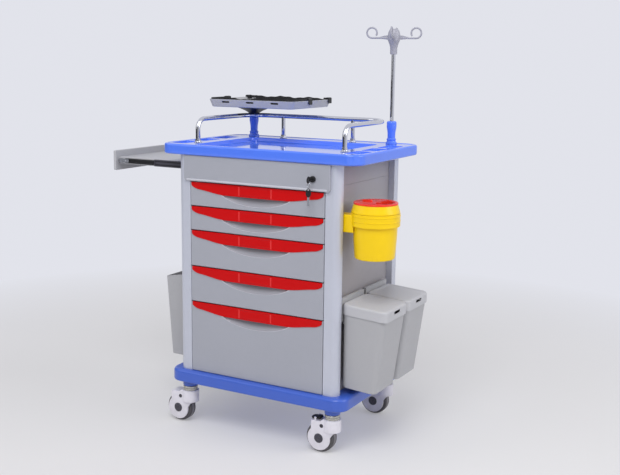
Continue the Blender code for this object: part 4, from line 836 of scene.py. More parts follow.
@dataclass
class Caster:
    """One swivel caster: cover, cap, ring, wheel and, on two of them, a rocker brake."""

    shop: Workshop
    label: str
    place: tuple[float, float]
    braked: bool
    trail: float = 0.038
    axle_z: float = 0.0497
    cover_half: float = 0.023
    hollow_half: float = 0.0175
    cheek: float = 0.0405
    crown: float = 0.108
    tower: float = 0.0295
    tower_top: float = 0.1168
    wheel_half: float = 0.016
    pedal_size: tuple[float, float, float] = (0.036, 0.026, 0.006)
    pedal_at: tuple[float, float] = (-0.054, 0.1142)
    pedal_tilt: float = math.radians(-8)

    def build(self) -> None:
        """Makes all the pieces of the caster."""
        self.cover()
        self.trim()
        self.wheel()
        if self.braked:
            self.pedal()

    def at(self, x: float, y: float, z: float) -> Vector:
        """A point given from the caster's stem."""
        return Vector((self.place[0] + x, self.place[1] + y, z))

    def cover(self) -> None:
        """The white shell: a round cheek about the axle and a tower about the stem, open for the wheel."""
        half, z = self.cover_half, self.axle_z
        x = -self.trail
        form = Form.rod(self.cheek, (half, -half), (x, 0, z), Axis.Y, 64)
        rise = self.tower_top - 0.0003
        outline = [(x - 0.0285, z + 0.0285), (x - 0.028, self.crown), (-0.036, self.crown)]
        outline += [(-0.031, self.crown + 0.0012), (-0.025, rise - 0.0015), (-0.021, rise), (0.017, rise)]
        outline += [(0.017, 0.0745), (0.0115, 0.0690), (0.0065, 0.0625), (x + 0.0395, z + 0.004), (x, z)]
        r, top = self.tower, self.tower_top
        tower = [(0.0, 0.0745), (r - 0.0025, 0.0745), (r - 0.0007, 0.0753), (r, 0.0775), (r, top - 0.0028)]
        tower += [(r - 0.0007, top - 0.0008), (r - 0.0025, top), (0.0, top)]
        form.welded(Form.prism(outline, Axis.Y, (-half, half)), Form.turned(tower, (0, 0, 0), Axis.Z, 56))
        form.cut(Form.rod(0.053, (self.hollow_half, -self.hollow_half), (x, 0, z), Axis.Y, 64))
        form.bevel(form.ridge(0.6, lambda co: abs(abs(co.y) - half) < ON_LEVEL), 0.0022, 3)
        form.joined(Form.rod(0.005, (0.0215, -0.0215), (x, 0, z), Axis.Y, 24))
        if self.braked:
            form.joined(*self.ears())
        form.moved((*self.place, 0.0))
        name = f"caster_{self.label}"
        self.shop.piece(f"{name}_cover", form, CASTER_WHITE, name, [f"{name}_housing"])

    def ears(self) -> list[Form]:
        """The two ears and the pin that the brake rocks on."""
        x, z = self.pedal_at
        inner = self.pedal_size[1] / 2 + 0.0008
        made = []
        for side in (-1, 1):
            near, far = sorted((side * inner, side * (inner + 0.0035)))
            ear = Form.block((x - 0.0035, near, self.crown - 0.003), (x + 0.0035, far, z + 0.0035))
            made.append(ear.bevel(ear.along(Axis.Y), 0.0015, 3))
        made.append(Form.rod(0.0018, (inner + 0.0018, -inner - 0.0018), (x, 0, z), Axis.Y, 16))
        return made

    def trim(self) -> None:
        """The dark hub caps and dots on both sides, the ring under the boss and the stem."""
        body = f"caster_{self.label}"
        caps, dots = Form(), Form()
        cap = [(0.0, -0.004), (0.0160, -0.004), (0.0160, 0.0004), (0.0150, 0.0014), (0.0062, 0.0015)]
        cap += [(0.0055, 0.0007), (0.0045, 0.0007), (0.0038, 0.0015), (0.0, 0.0015)]
        dot = [(0.0, -0.003), (0.0065, -0.003), (0.0065, 0.0003), (0.0058, 0.0008), (0.0026, 0.0008)]
        dot += [(0.0020, 0.0), (0.0, 0.0)]
        for side in (-1, 1):
            out = side * self.cover_half
            caps.joined(Form.turned(flipped(cap, side), self.at(-self.trail, out, self.axle_z), Axis.Y, 40))
            dots.joined(Form.turned(flipped(dot, side), self.at(-0.028, out, 0.0935), Axis.Y, 28))
        self.shop.piece(f"{body}_hub_caps", caps, CAP_GREY, body, slot="black_plastic")
        self.shop.piece(f"{body}_side_dots", dots, CAP_GREY, body, slot="black_plastic")
        ring = [(0.0, 0.1665), (0.006, 0.1665), (0.006, 0.1333), (0.0215, 0.1333), (0.0240, 0.1326)]
        ring += [(0.0250, 0.1312), (0.0250, 0.1275), (0.0236, 0.1266), (0.0236, 0.1250), (0.0250, 0.1241)]
        ring += [(0.0250, 0.1202), (0.0236, 0.1194), (0.0236, 0.1160), (0.0, 0.1160)]
        form = Form.turned(ring, self.at(0, 0, 0), Axis.Z, 56)
        self.shop.piece(f"{body}_ring", form, CASTER_RING, body, slot="chrome")

    def wheel(self) -> None:
        """The tyre with its lighter tread band, and the pale hub inside it."""
        body = f"wheel_{self.label}"
        half, r, at = self.wheel_half, self.axle_z, self.at(-self.trail, 0, self.axle_z)
        tyre = [(0.031, half - 0.001), (0.0325, half), (r - 0.006, half), (r - 0.0034, half - 0.0008)]
        tyre += [(r - 0.0013, half - 0.0026), (r - 0.0004, half - 0.0052), (r - 0.0003, half - 0.0085)]
        tyre += [(r - 0.0012, half - 0.0092)]
        node = f"caster_{self.label}_wheel"
        form = Form.turned(mirrored(tyre), at, Axis.Y, 72)
        self.shop.piece(f"{body}_tyre", form, TYRE_GREY, body, [node])
        band = [(r - 0.004, 0.0062), (r - 0.0004, 0.0062), (r, 0.0056)]
        form = Form.turned(mirrored(band), at, Axis.Y, 72)
        self.shop.piece(f"{body}_band", form, TREAD_GREY, body, slot="tyre_grey")
        hub = [(0.0052, half - 0.001), (0.010, half - 0.001), (0.011, half - 0.003), (0.026, half - 0.004)]
        hub += [(0.028, half - 0.0012), (0.0315, half - 0.0012)]
        form = Form.turned(mirrored(hub), at, Axis.Y, 48)
        self.shop.piece(f"{body}_hub", form, CASTER_WHITE, body, slot="caster_white")

    def pedal(self) -> None:
        """A black rocker with two lobes and raised ribs."""
        x, z = self.pedal_at
        length, width, thick = self.pedal_size
        corner = Vector((length, width, thick)) / 2
        form = Form.block(-corner, corner, 0.0085, 8)
        form.cut(*self.waists(width, thick))
        form.bevel(form.sharp(0.9), 0.0011, 2)
        for at in (-0.0125, -0.009, 0.009, 0.0125):
            high = (at + 0.0008, width * 0.32, thick / 2 + 0.0006)
            rib = Form.block((at - 0.0008, -width * 0.32, 0.0), high)
            form.joined(rib.bevel(rib.sharp(), 0.0004, 2))
        where = self.at(x, 0, z)
        form.tilted(self.pedal_tilt, Axis.Y, (0, 0, 0)).moved(where)
        name = f"caster_{self.label}_pedal"
        self.shop.piece(f"brake_{self.label}_rocker", form, BLACK_PLASTIC, f"brake_{self.label}", [name])

    def waists(self, width: float, thick: float) -> list[Form]:
        """The cutters for the rocker's waist and for its pin."""
        out = width / 2 + 0.0032
        made = [Form.rod(0.006, (thick, -thick), (0, side * out, 0), Axis.Z, 32) for side in (-1, 1)]
        return [*made, Form.rod(0.002, (width, -width), (0, 0, 0), Axis.Y, 16)]


@dataclass
class Frame:
    """The cabinet's four corner columns, its sheets and the fascia over the drawers."""

    shop: Workshop
    half: tuple[float, float] = (0.3055, 0.230)
    side: float = 0.050
    front_depth: float = 0.029
    low: float = 0.1983
    high: float = 0.9425
    fascia_half: float = 0.2755
    fascia_y: tuple[float, float] = (-0.238, -0.2303)
    fascia_z: tuple[float, float] = (0.8568, 0.9425)
    lock: tuple[float, float] = (0.2155, 0.8948)
    screw_x: float = 0.240

    def build(self) -> None:
        """Makes the columns and the fascia, and dresses the sheets."""
        for back in (-1, 1):
            for right in (-1, 1):
                self.column(right, back)
        self.fascia()
        self.shop.dress(PANEL_GREY, "side_panel_left", "side_panel_right", "back_panel", "shelf_deck")
        self.screws()

    def screws(self) -> None:
        """Pan-head screws down both edges of the back sheet."""
        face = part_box("back_panel")[1].y - ORIGIN.y
        head = [(0.0, -0.002), (0.0042, -0.002), (0.0042, 0.0004), (0.0036, 0.0014)]
        head += [(0.0022, 0.0019), (0.0, 0.0019)]
        form = Form()
        for side in (-1, 1):
            for step in range(5):
                x, z = side * self.screw_x, self.low + 0.045 + step * 0.160
                screw = Form.turned(head, (x, face, z), Axis.Y, 24)
                high = (x + 0.0005, face + 0.01, z + 0.0030)
                slot = Form.block((x - 0.0005, face + 0.0009, z - 0.0030), high)
                form.joined(screw.cut(slot))
        self.shop.piece("back_panel_screws", form, STEEL, slot="chrome")

    def column(self, right: int, back: int) -> None:
        """A hollow column with one large round outer corner.

        Args:
            right: 1 on the right, -1 on the left.
            back: 1 at the back, -1 at the front.
        """
        xs = sorted((right * self.half[0], right * (self.half[0] - self.side)))
        depth = self.side if back > 0 else self.front_depth
        ys = sorted((back * self.half[1], back * (self.half[1] - depth)))
        form = Form.block((xs[0], ys[0], self.low), (xs[1], ys[1], self.high))
        corner = Vector((right * self.half[0], back * self.half[1]))
        outer = [edge for edge in form.along(Axis.Z) if (edge.verts[0].co.to_2d() - corner).length < 1e-4]
        form.bevel(outer, 0.025, 12)
        rest = [edge for edge in form.along(Axis.Z) if edge.calc_face_angle(0.0) > 1.0]
        form.bevel(rest, 0.0022, 3)
        form.step(form.cap((0, 0, 1)), (0.003, 0.0), (0.0, 0.003 + self.low - self.high))
        name = f"column_{'front' if back < 0 else 'back'}_{'right' if right > 0 else 'left'}"
        self.shop.piece(f"{name}_profile", form, COLUMN_SILVER, replaces=[name])

    def fascia(self) -> None:
        """The flat fascia with rounded lower corners, and the rolled edge along its foot, painted paler as a
        highlight.
        """
        half, (front, back), (low, high) = self.fascia_half, self.fascia_y, self.fascia_z
        form = Form.block((-half, front, low), (half, back, high))
        feet = [edge for edge in form.along(Axis.Y) if edge.verts[0].co.z < low + 1e-4]
        form.bevel(feet, 0.010, 8)
        form.bevel(form.cap((0, -1, 0)).edges, 0.0018, 3)
        form.cut(Form.rod(0.0101, (0.02, -0.02), (self.lock[0], front, self.lock[1]), Axis.Y, 40))
        self.shop.piece("fascia_plate", form, FRONT_GREY, replaces=["top_fascia"])
        bead = Bar((-half + 0.010, front + 0.0024, low + 0.0047), (1, 0, 0), 0.0045, 24)
        form = bead.straight(2 * half - 0.020).ended()
        form.bevel(form.sharp(1.2), 0.003, 4)
        # The bead's paler grey is a painted highlight on the front grey.
        self.shop.piece("fascia_bead", form, PALE_BEAD_PAINTED_HIGHLIGHT, slot="front_grey")


@dataclass
class Drawer:
    """One drawer: a front with a finger scoop, a red grip with a label window, and its box."""

    shop: Workshop
    number: int
    low: float
    high: float
    half: float = 0.254
    front: float = -0.230
    back: float = -0.210
    gap: float = 0.0015
    grip_drop: float = 0.037
    grip_tip: float = 0.985
    scoop: tuple[float, float, float] = (0.147, 0.0175, 0.0565)
    scoop_drop: float = 0.010
    window: float = 0.061

    def build(self) -> None:
        """Makes the front and the grip, and dresses the box."""
        self.panel()
        self.grip()
        self.label()
        self.shop.dress(BOX_GREY, f"{self.body}_box")

    @property
    def body(self) -> str:
        """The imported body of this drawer."""
        return f"drawer_{self.number}"

    def outline(self, half: float, drop: float, span: tuple[float, float]) -> Form:
        """A long strip whose depth fades to nothing at its ends.

        Args:
            half: Half its length.
            drop: Its depth at the middle.
            span: Where it starts and ends from front to back.

        Returns:
            The strip, hanging from the drawer's top edge.
        """
        form = Form()
        bmesh.ops.create_grid(form.bm, x_segments=56, y_segments=1, size=1.0)
        top = self.high - self.gap
        for vert in form.bm.verts:
            share = math.sin(vert.co.x * math.pi / 2) * self.grip_tip
            low = top - drop * self.depth(abs(share))
            vert.co = Vector((half * share, span[0], top if vert.co.y > 0 else low))
        drawn = bmesh.ops.extrude_face_region(form.bm, geom=form.bm.faces[:], use_keep_orig=True)["geom"]
        moved = [item for item in drawn if isinstance(item, bmesh.types.BMVert)]
        bmesh.ops.translate(form.bm, vec=(0, span[1] - span[0], 0), verts=moved)
        return form.outward()

    def depth(self, share: float) -> float:
        """The grip's depth: full in its middle, then a wing, then a round tip.

        Args:
            share: The place along half its length, from 0 to 1.

        Returns:
            The depth beside that of the middle.
        """
        wing = min(max((share - 0.45) / 0.50, 0.0), 1.0)
        tip = max(share - 0.86, 0.0) / 0.14
        bow = 1 - 0.05 * share * share
        return bow * (1 - 0.37 * wing * wing * (3 - 2 * wing)) * math.sqrt(1 - tip * tip)

    def panel(self) -> None:
        """The front: a plate with soft edges, a seat for the grip and a scoop that runs up behind it."""
        low, high = self.low + self.gap, self.high - self.gap
        form = Form.block((-self.half, self.front, low), (self.half, self.back, high))
        form.bevel(form.along(Axis.Y), 0.003, 4)
        form.bevel(form.cap((0, -1, 0)).edges, 0.0018, 3)
        span = (self.front - 0.02, self.front + 0.006)
        seat = self.outline(self.half + GAP, self.grip_drop + 0.0002, span)
        reach = self.half * self.grip_tip
        lid = Form.block((-reach, self.front - 0.02, high - 0.001), (reach, self.front + 0.006, high + 0.02))
        scoop = Form.ball((0, self.front - 0.001, high - self.scoop_drop), self.scoop, 72)
        form.cut(seat, lid, scoop)
        foot = high - self.grip_drop - 0.004
        form.bevel(form.ridge(0.35, lambda co: self.on_rim(co, foot)), 0.0016, 4)
        node = f"{self.body}_front"
        # The panel's finish paints shade into the scoop, darker with depth.
        self.shop.piece(f"{self.body}_panel", form, SCOOP_PAINTED_SHADE_GREY, self.body, [node], "front_grey")
        self.rim()

    def rim(self) -> None:
        """The rolled rim along the foot of the scoop, painted paler as a highlight."""
        top = self.high - self.gap
        wide, _, tall = self.scoop
        turns = [math.tau * step / 12 for step in range(12)]
        ring = [(tall + 0.0010 * math.cos(turn), 0.0010 * math.sin(turn)) for turn in turns]
        form = Form.turned(ring, (0, 0, 0), Axis.Y, 96)
        bmesh.ops.scale(form.bm, vec=(wide / tall, 1.0, 1.0), verts=form.bm.verts)
        form.moved((0, self.front + 0.0002, top - self.scoop_drop))
        low = top - self.grip_drop + 0.002
        form.cut(Form.block((-0.3, self.front - 0.05, low), (0.3, self.front + 0.05, low + 0.2)))
        # The rim's paler grey is a painted highlight on the front grey.
        self.shop.piece(f"{self.body}_scoop_rim", form, PALE_BEAD_PAINTED_HIGHLIGHT, self.body, slot="front_grey")

    def on_rim(self, point: Vector, foot: float) -> bool:
        """Whether a point lies where the scoop meets the face, below the grip's foot."""
        level = abs(point.y - self.front) < 2 * ON_LEVEL
        return level and self.low + 0.006 < point.z < foot and abs(point.x) < 0.15

    def grip(self) -> None:
        """The red grip: a rolled face over the seat."""
        form = self.outline(self.half - GAP, self.grip_drop, (self.front - 0.002, self.front + 0.0057))
        form.bevel(form.ridge(0.9, lambda co: co.y < self.front), 0.0017, 4)
        self.shop.piece(f"{self.body}_grip", form, HANDLE_RED, self.body, [f"{self.body}_handle"])

    def label(self) -> None:
        """The clear label window in the grip, between two ribs painted lighter red as a highlight."""
        top = self.high - self.gap
        low, high = top - self.grip_drop + 0.0045, top - 0.0045
        y = self.front - 0.0021
        form = Form.block((-self.window, y, low), (self.window, y + 0.002, high))
        form.bevel(form.along(Axis.Y), 0.0015, 3)
        form.step(form.cap((0, -1, 0)), (0.0014, 0.0), (0.0005, -0.0006), (0.0002, 0.0))
        self.shop.piece(f"{self.body}_window", form, WINDOW_RED, self.body, slot="handle_red")
        ribs = Form()
        for side in (-1, 1):
            x = side * self.window
            rib = Form.block((x - 0.0026, y - 0.0007, low - 0.001), (x + 0.0026, y + 0.001, high + 0.001))
            ribs.joined(rib.bevel(rib.sharp(), 0.0007, 3))
        # The ribs' lighter red is a painted highlight on the grip's red plastic.
        self.shop.piece(f"{self.body}_window_ribs", ribs, RIB_RED_PAINTED_HIGHLIGHT, self.body, slot="handle_red")


@dataclass
class Worktop:
    """The blue worktop: a low lip, a plateau with side pockets and a sunken floor."""

    shop: Workshop
    half: tuple[float, float] = (0.375, 0.244)
    low: float = 0.9428
    lip: float = 0.9778
    plateau: float = 0.9763
    recess_low: tuple[float, float] = (-0.255, -0.217)
    recess_high: tuple[float, float] = (0.255, 0.163)
    pocket_x: tuple[float, float] = (0.299, 0.355)
    pocket_length: float = 0.100
    pocket_pitch: float = 0.120
    pocket_shift: float = -0.030

    def build(self) -> None:
        """Draws the moulding down from its lip, then sinks the pockets."""
        x, y = self.half
        form = Form.block((-x, -y, self.low), (x, y, self.lip), 0.050, 14)
        form.bevel(form.cap((0, 0, -1)).edges, 0.006, 4)
        form.bevel(form.cap((0, 0, 1)).edges, 0.0065, 5)
        top = form.cap((0, 0, 1))
        form.step(top, (0.0035, 0.0), (0.0008, -0.0002), (0.0008, -0.00055), (0.0008, -0.00055))
        form.step(top, (0.0012, -0.0002), (0.003, 0.0))
        form.fit(top, self.recess_low, self.recess_high)
        form.step(top, (0.0012, -0.0003), (0.0012, -0.0010), (0.0008, -0.0020), (0.0008, -0.0040))
        form.step(top, (0.0008, -0.0038), (0.0008, -0.0017), (0.0012, -0.0009), (0.0018, -0.0003))
        form.step(top, (0.004, 0.0))
        form.cut(*(self.pocket(side, number) for side in (-1, 1) for number in (-1, 0, 1)))
        level = self.plateau
        rims = form.ridge(0.9, lambda co: abs(co.z - level) < 2 * ON_LEVEL and abs(co.x) > 0.29)
        form.bevel(rims, 0.0016, 3)
        self.shop.piece("worktop_moulding", form, WORKTOP_BLUE, replaces=["worktop"])

    def pocket(self, side: int, number: int) -> Form:
        """The cutter of one pocket: a rounded block with a dished foot."""
        middle = self.pocket_shift + number * self.pocket_pitch
        xs = sorted((side * self.pocket_x[0], side * self.pocket_x[1]))
        low = (xs[0], middle - self.pocket_length / 2, self.plateau - 0.007)
        high = (xs[1], middle + self.pocket_length / 2, self.plateau + 0.02)
        form = Form.block(low, high, 0.012, 8)
        return form.bevel(form.cap((0, 0, -1)).edges, 0.004, 4)


@dataclass
class GuardRail:
    """The three-sided chrome rail on flared feet."""

    shop: Workshop
    radius: float = 0.008
    half: float = 0.279
    front: float = -0.150
    back: float = 0.185
    foot: float = POST_FOOT
    level: float = 1.0558
    front_bend: float = 0.035
    back_bend: float = 0.080
    post: float = 0.140

    def build(self) -> None:
        """Bends the rail from foot to foot and stands its posts and feet."""
        bar = Bar((-self.half, self.front, self.foot + 0.001), (0, 0, 1), self.radius, 28)
        bar.straight(self.level - self.foot - 0.001 - self.front_bend)
        bar.bend((0, 1, 0), self.front_bend, math.pi / 2, 14)
        bar.straight(self.back - self.front - self.front_bend - self.back_bend)
        bar.bend((1, 0, 0), self.back_bend, math.pi / 2, 18)
        bar.straight(2 * (self.half - self.back_bend))
        bar.bend((0, -1, 0), self.back_bend, math.pi / 2, 18)
        bar.straight(self.back - self.front - self.front_bend - self.back_bend)
        bar.bend((0, 0, -1), self.front_bend, math.pi / 2, 14)
        bar.straight(self.level - self.foot - 0.001 - self.front_bend)
        form = bar.ended()
        flare = [(0.0, 0.013), (0.0086, 0.013), (0.0092, 0.0124), (0.0094, 0.0050), (0.0102, 0.0032)]
        flare += [(0.0125, 0.0022), (0.0133, 0.0014), (0.0133, 0.0), (0.0, 0.0)]
        places = [(-self.half, self.front), (self.half, self.front), (-self.post, self.back)]
        places += [(self.post, self.back)]
        for place in places:
            form.joined(Form.turned(flare, (*place, self.foot), Axis.Z, 36))
        for place in places[2:]:
            post = Bar((*place, self.foot + 0.001), (0, 0, 1), self.radius * 0.9, 24)
            form.joined(post.straight(self.level - self.foot - 0.001).ended())
        self.shop.piece("guard_rail_bar", form, CHROME, replaces=["guard_rail"])


def sleeve(low: float, high: float) -> Form:
    """A grip sleeve with a bulbed top, a waist and a flange, bored for a post.

    Args:
        low: Its foot.
        high: Its top.

    Returns:
        The sleeve about the Z axis.
    """
    profile = [(0.0073, high), (0.0125, high), (0.0150, high - 0.0012), (0.0165, high - 0.0035)]
    profile += [(0.0170, high - 0.007), (0.0170, high - 0.011), (0.0166, high - 0.0118)]
    profile += [(0.0166, high - 0.0132)]
    profile += [(0.0170, high - 0.014), (0.0169, high - 0.020), (0.0160, high - 0.026)]
    profile += [(0.0146, high - 0.033)]
    profile += [(0.0137, high - 0.041), (0.0133, low + 0.0225), (0.0137, low + 0.0195)]
    profile += [(0.0158, low + 0.0175)]
    profile += [(0.0163, low + 0.0162), (0.0163, low + 0.0142), (0.0155, low + 0.0128)]
    profile += [(0.0150, low + 0.0115)]
    profile += [(0.0160, low + 0.008), (0.0185, low + 0.0058), (0.0194, low + 0.0042), (0.0195, low)]
    return Form.turned(profile + [(0.0073, low)], (0, 0, 0), Axis.Z, 48)


@dataclass
class DripPole:
    """The chrome drip pole in its blue sleeve, with a head of four hooks."""

    shop: Workshop
    place: tuple[float, float] = (0.278, 0.205)
    radius: float = 0.007
    span: tuple[float, float] = (0.6388, 1.3085)
    head: float = 1.2788
    arm: float = 1.3328
    reach: float = 0.075
    curl: float = 0.017
    turn: float = math.radians(17.7)

    def build(self) -> None:
        """Makes the sleeve, the pole and the head."""
        form = sleeve(POST_FOOT, SLEEVE_TOP).moved((*self.place, 0.0))
        self.shop.piece("pole_grip", form, WORKTOP_BLUE, replaces=["pole_sleeve"])
        low, high = self.span
        r = self.radius
        profile = [(0.0, low), (r - 0.001, low), (r, low + 0.001), (r, high), (0.0, high)]
        form = Form.turned(profile, (*self.place, 0.0), Axis.Z, 40)
        self.shop.piece("drip_pole_tube", form, CHROME, "drip_pole", ["iv_pole"])
        self.hooks()

    def hooks(self) -> None:
        """The flared hub with four finned arms that end in open curls."""
        z = self.head
        hub = [(0.0073, z), (0.0112, z), (0.012, z + 0.001), (0.012, z + 0.016), (0.0124, z + 0.022)]
        hub += [(0.0140, z + 0.030), (0.0172, z + 0.039), (0.0198, z + 0.0445), (0.021, z + 0.049)]
        hub += [(0.021, z + 0.060), (0.0205, z + 0.067), (0.0190, z + 0.0745), (0.0165, z + 0.080)]
        hub += [(0.0130, z + 0.0834), (0.0080, z + 0.0847), (0.0, z + 0.085), (0.0, z + 0.0297)]
        hub += [(0.0073, z + 0.0297)]
        form = Form.turned(hub, (0, 0, 0), Axis.Z, 56)
        for number in range(4):
            bar = Bar((0.012, 0, self.arm), (1, 0, 0), 0.003, 16).straight(self.reach - 0.012)
            bar.bend((0, 0, 1), self.curl, math.radians(305), 26)
            hook = bar.ended()
            hook.bevel(hook.sharp(1.2), 0.0012, 2)
            fin = [(0.014, self.arm - 0.006), (0.030, self.arm - 0.0045), (0.056, self.arm - 0.0015)]
            fin += [(0.056, self.arm + 0.0015), (0.034, self.arm + 0.0075), (0.014, self.arm + 0.010)]
            rib = Form.prism(fin, Axis.Y, (-0.0022, 0.0022))
            hook.joined(rib.bevel(rib.sharp(), 0.0009, 2))
            form.joined(hook.tilted(self.turn + number * math.pi / 2, Axis.Z, (0, 0, 0)))
        form.moved((*self.place, 0.0))
        self.shop.piece("hook_head_moulding", form, HEAD_GREY, "drip_pole", ["hook_head"])


@dataclass
class Platform:
    """The swivelling device platform: sleeve, cone, slotted tray, and two slack elastic straps with clips."""

    shop: Workshop
    place: tuple[float, float] = (-0.278, 0.205)
    low: tuple[float, float] = (-0.3575, 0.020)
    high: tuple[float, float] = (-0.0075, 0.310)
    floor: float = 1.0893
    height: float = 0.027
    flare: float = 0.008
    wall: float = 0.003
    strap_thick: float = 0.0022
    strap_proud: float = 0.0045
    strap_wave: float = 0.0035
    strap_end: float = 0.018
    clips_at: tuple[float, float] = (0.42, 0.92)

    def build(self) -> None:
        """Makes all the pieces of the platform."""
        form = sleeve(POST_FOOT, SLEEVE_TOP).moved((*self.place, 0.0))
        self.shop.piece("platform_grip", form, WORKTOP_BLUE, replaces=["platform_sleeve"])
        self.pivot()
        self.tray()
        inset = self.flare + self.wall + GAP
        self.strap(1, self.low[1] + inset, 1)
        self.strap(2, self.high[1] - inset, -1)
        self.tails()
        self.clips()

    def pivot(self) -> None:
        """The dark cone under the tray, with its stem in the sleeve."""
        low, top = SLEEVE_TOP + GAP, self.floor - GAP
        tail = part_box("platform_pivot")[0].z
        profile = [(0.0, top), (0.0685, top), (0.070, top - 0.0012), (0.070, top - 0.003)]
        profile += [(0.0685, top - 0.0045)]
        profile += [(0.050, top - 0.0120), (0.034, top - 0.0185), (0.0265, low + 0.0115)]
        profile += [(0.0215, low + 0.0082)]
        profile += [(0.0180, low + 0.0042), (0.0164, low + 0.0012), (0.0155, low), (0.007, low)]
        profile += [(0.007, tail), (0.0, tail)]
        form = Form.turned(profile, (*self.place, 0.0), Axis.Z, 56)
        self.shop.piece("platform_cone", form, BLACK_PLASTIC, "platform", ["platform_pivot"])

    def tray(self) -> None:
        """A shallow flared tray with a rolled rim and three slots in each long wall."""
        (x0, y0), (x1, y1), f = self.low, self.high, self.flare
        top = self.floor + self.height
        form = Form.block((x0 + f, y0 + f, self.floor), (x1 - f, y1 - f, top), 0.018, 10)
        cap = form.fit(form.cap((0, 0, 1)), self.low, self.high)
        form.step(cap, (self.wall, 0.0), (0.0, self.wall - self.height))
        inner = f + self.wall
        form.fit(cap, (x0 + inner, y0 + inner), (x1 - inner, y1 - inner))
        form.step(cap, (0.003, 0.0))
        middle = (x0 + x1) / 2
        slots = []
        for number in (-1, 0, 1):
            x = middle + number * 0.100
            high = (x + 0.016, y1 + 0.01, self.floor + 0.021)
            slot = Form.block((x - 0.016, y0 - 0.01, self.floor + 0.015), high)
            slots.append(slot.bevel(slot.along(Axis.Y), 0.0028, 5))
        form.cut(*slots)
        form.bevel(form.ridge(0.9, lambda co: co.z > top - ON_LEVEL), 0.0011, 3)
        form.bevel(form.ridge(0.9, lambda co: co.z < self.floor + ON_LEVEL), 0.003, 4)
        self.shop.piece("platform_tray", form, TRAY_GREY, "platform", ["defib_platform"])

    def strap(self, number: int, wall: float, way: int) -> None:
        """An elastic strap that stands slack along a long wall, its top edge waving over the rim.

        Args:
            number: 1 or 2.
            wall: Where its outer face stands.
            way: 1 when the tray's middle lies behind it, -1 in front.
        """
        inset = self.flare + self.wall + self.strap_end
        start, end = self.low[0] + inset, self.high[0] - inset
        low, rim = self.floor + self.wall + GAP, self.floor + self.height + self.strap_proud
        form = Form()
        bmesh.ops.create_grid(form.bm, x_segments=96, y_segments=8, size=1.0)
        for vert in form.bm.verts:
            part, up = (vert.co.x + 1) / 2, (vert.co.y + 1) / 2
            turn = math.tau * (2.5 * part + 0.5 * number)
            sway = 0.0016 * up * (1 - math.cos(math.tau * 6.0 * part)) * way
            ripple = 0.0010 * math.sin(math.tau * 7.3 * part + 1.7 * number)
            top = rim + self.strap_wave * (0.6 * math.cos(turn) - 0.4 * part) + ripple
            vert.co = Vector((start + (end - start) * part, wall + sway, low + (top - low) * up))
        form.outward()
        bmesh.ops.solidify(form.bm, geom=form.bm.faces[:], thickness=self.strap_thick * 0.9)
        form.outward()
        form.bevel(form.sharp(1.2), 0.0006, 2)
        self.shop.piece(f"strap_{number}_band", form, STRAP_BLACK, "platform", [f"strap_{number}"])

    def tails(self) -> None:
        """The straps' tails along the end walls, from each strap's end to its clip."""
        top = self.floor + self.height
        inset = self.flare + self.wall + self.strap_end
        starts = (self.low[1] + 0.012, self.high[1] - 0.012)
        form = Form()
        for edge, side in ((self.low[0], 1), (self.high[0], -1)):
            for start, share in zip(starts, self.clips_at):
                stop = self.low[1] + (self.high[1] - self.low[1]) * share
                bar = Bar((edge + side * inset, start, top + 0.002), (-side, 0, 0), 0.0036, 16)
                bar.straight(inset - 0.0165)
                bar.bend((0, 1 if stop > start else -1, 0), 0.009, math.pi / 2, 8)
                form.joined(bar.straight(max(0.004, abs(stop - start) - 0.009)).ended())
        self.shop.piece("strap_tails", form, STRAP_BLACK, "platform", slot="strap_black")

    def clips(self) -> None:
        """Black clips that hook the tails of the straps over the tray's end walls."""
        inset = self.flare + self.wall
        top = self.floor + self.height
        form = Form()
        for share in self.clips_at:
            middle = self.low[1] + (self.high[1] - self.low[1]) * share
            for side, edge in ((-1, self.low[0]), (1, self.high[0])):
                inner = edge - side * (inset + 0.001)
                outline = [(inner, top - 0.006), (inner, top + 0.006), (edge - side * 0.004, top + 0.0075)]
                outline += [(edge + side * 0.003, top + 0.006), (edge + side * 0.003, top - 0.014)]
                outline += [(edge + side * 0.0006, top - 0.014), (edge + side * 0.0006, top + 0.0003)]
                outline += [(edge - side * 0.0040, top + 0.0003), (edge - side * 0.007, top - 0.006)]
                clip = Form.prism(outline, Axis.Y, (middle - 0.012, middle + 0.012))
                form.joined(clip.bevel(clip.sharp(), 0.0007, 2))
        self.shop.piece("strap_clips", form, BLACK_PLASTIC, "platform", slot="black_plastic")


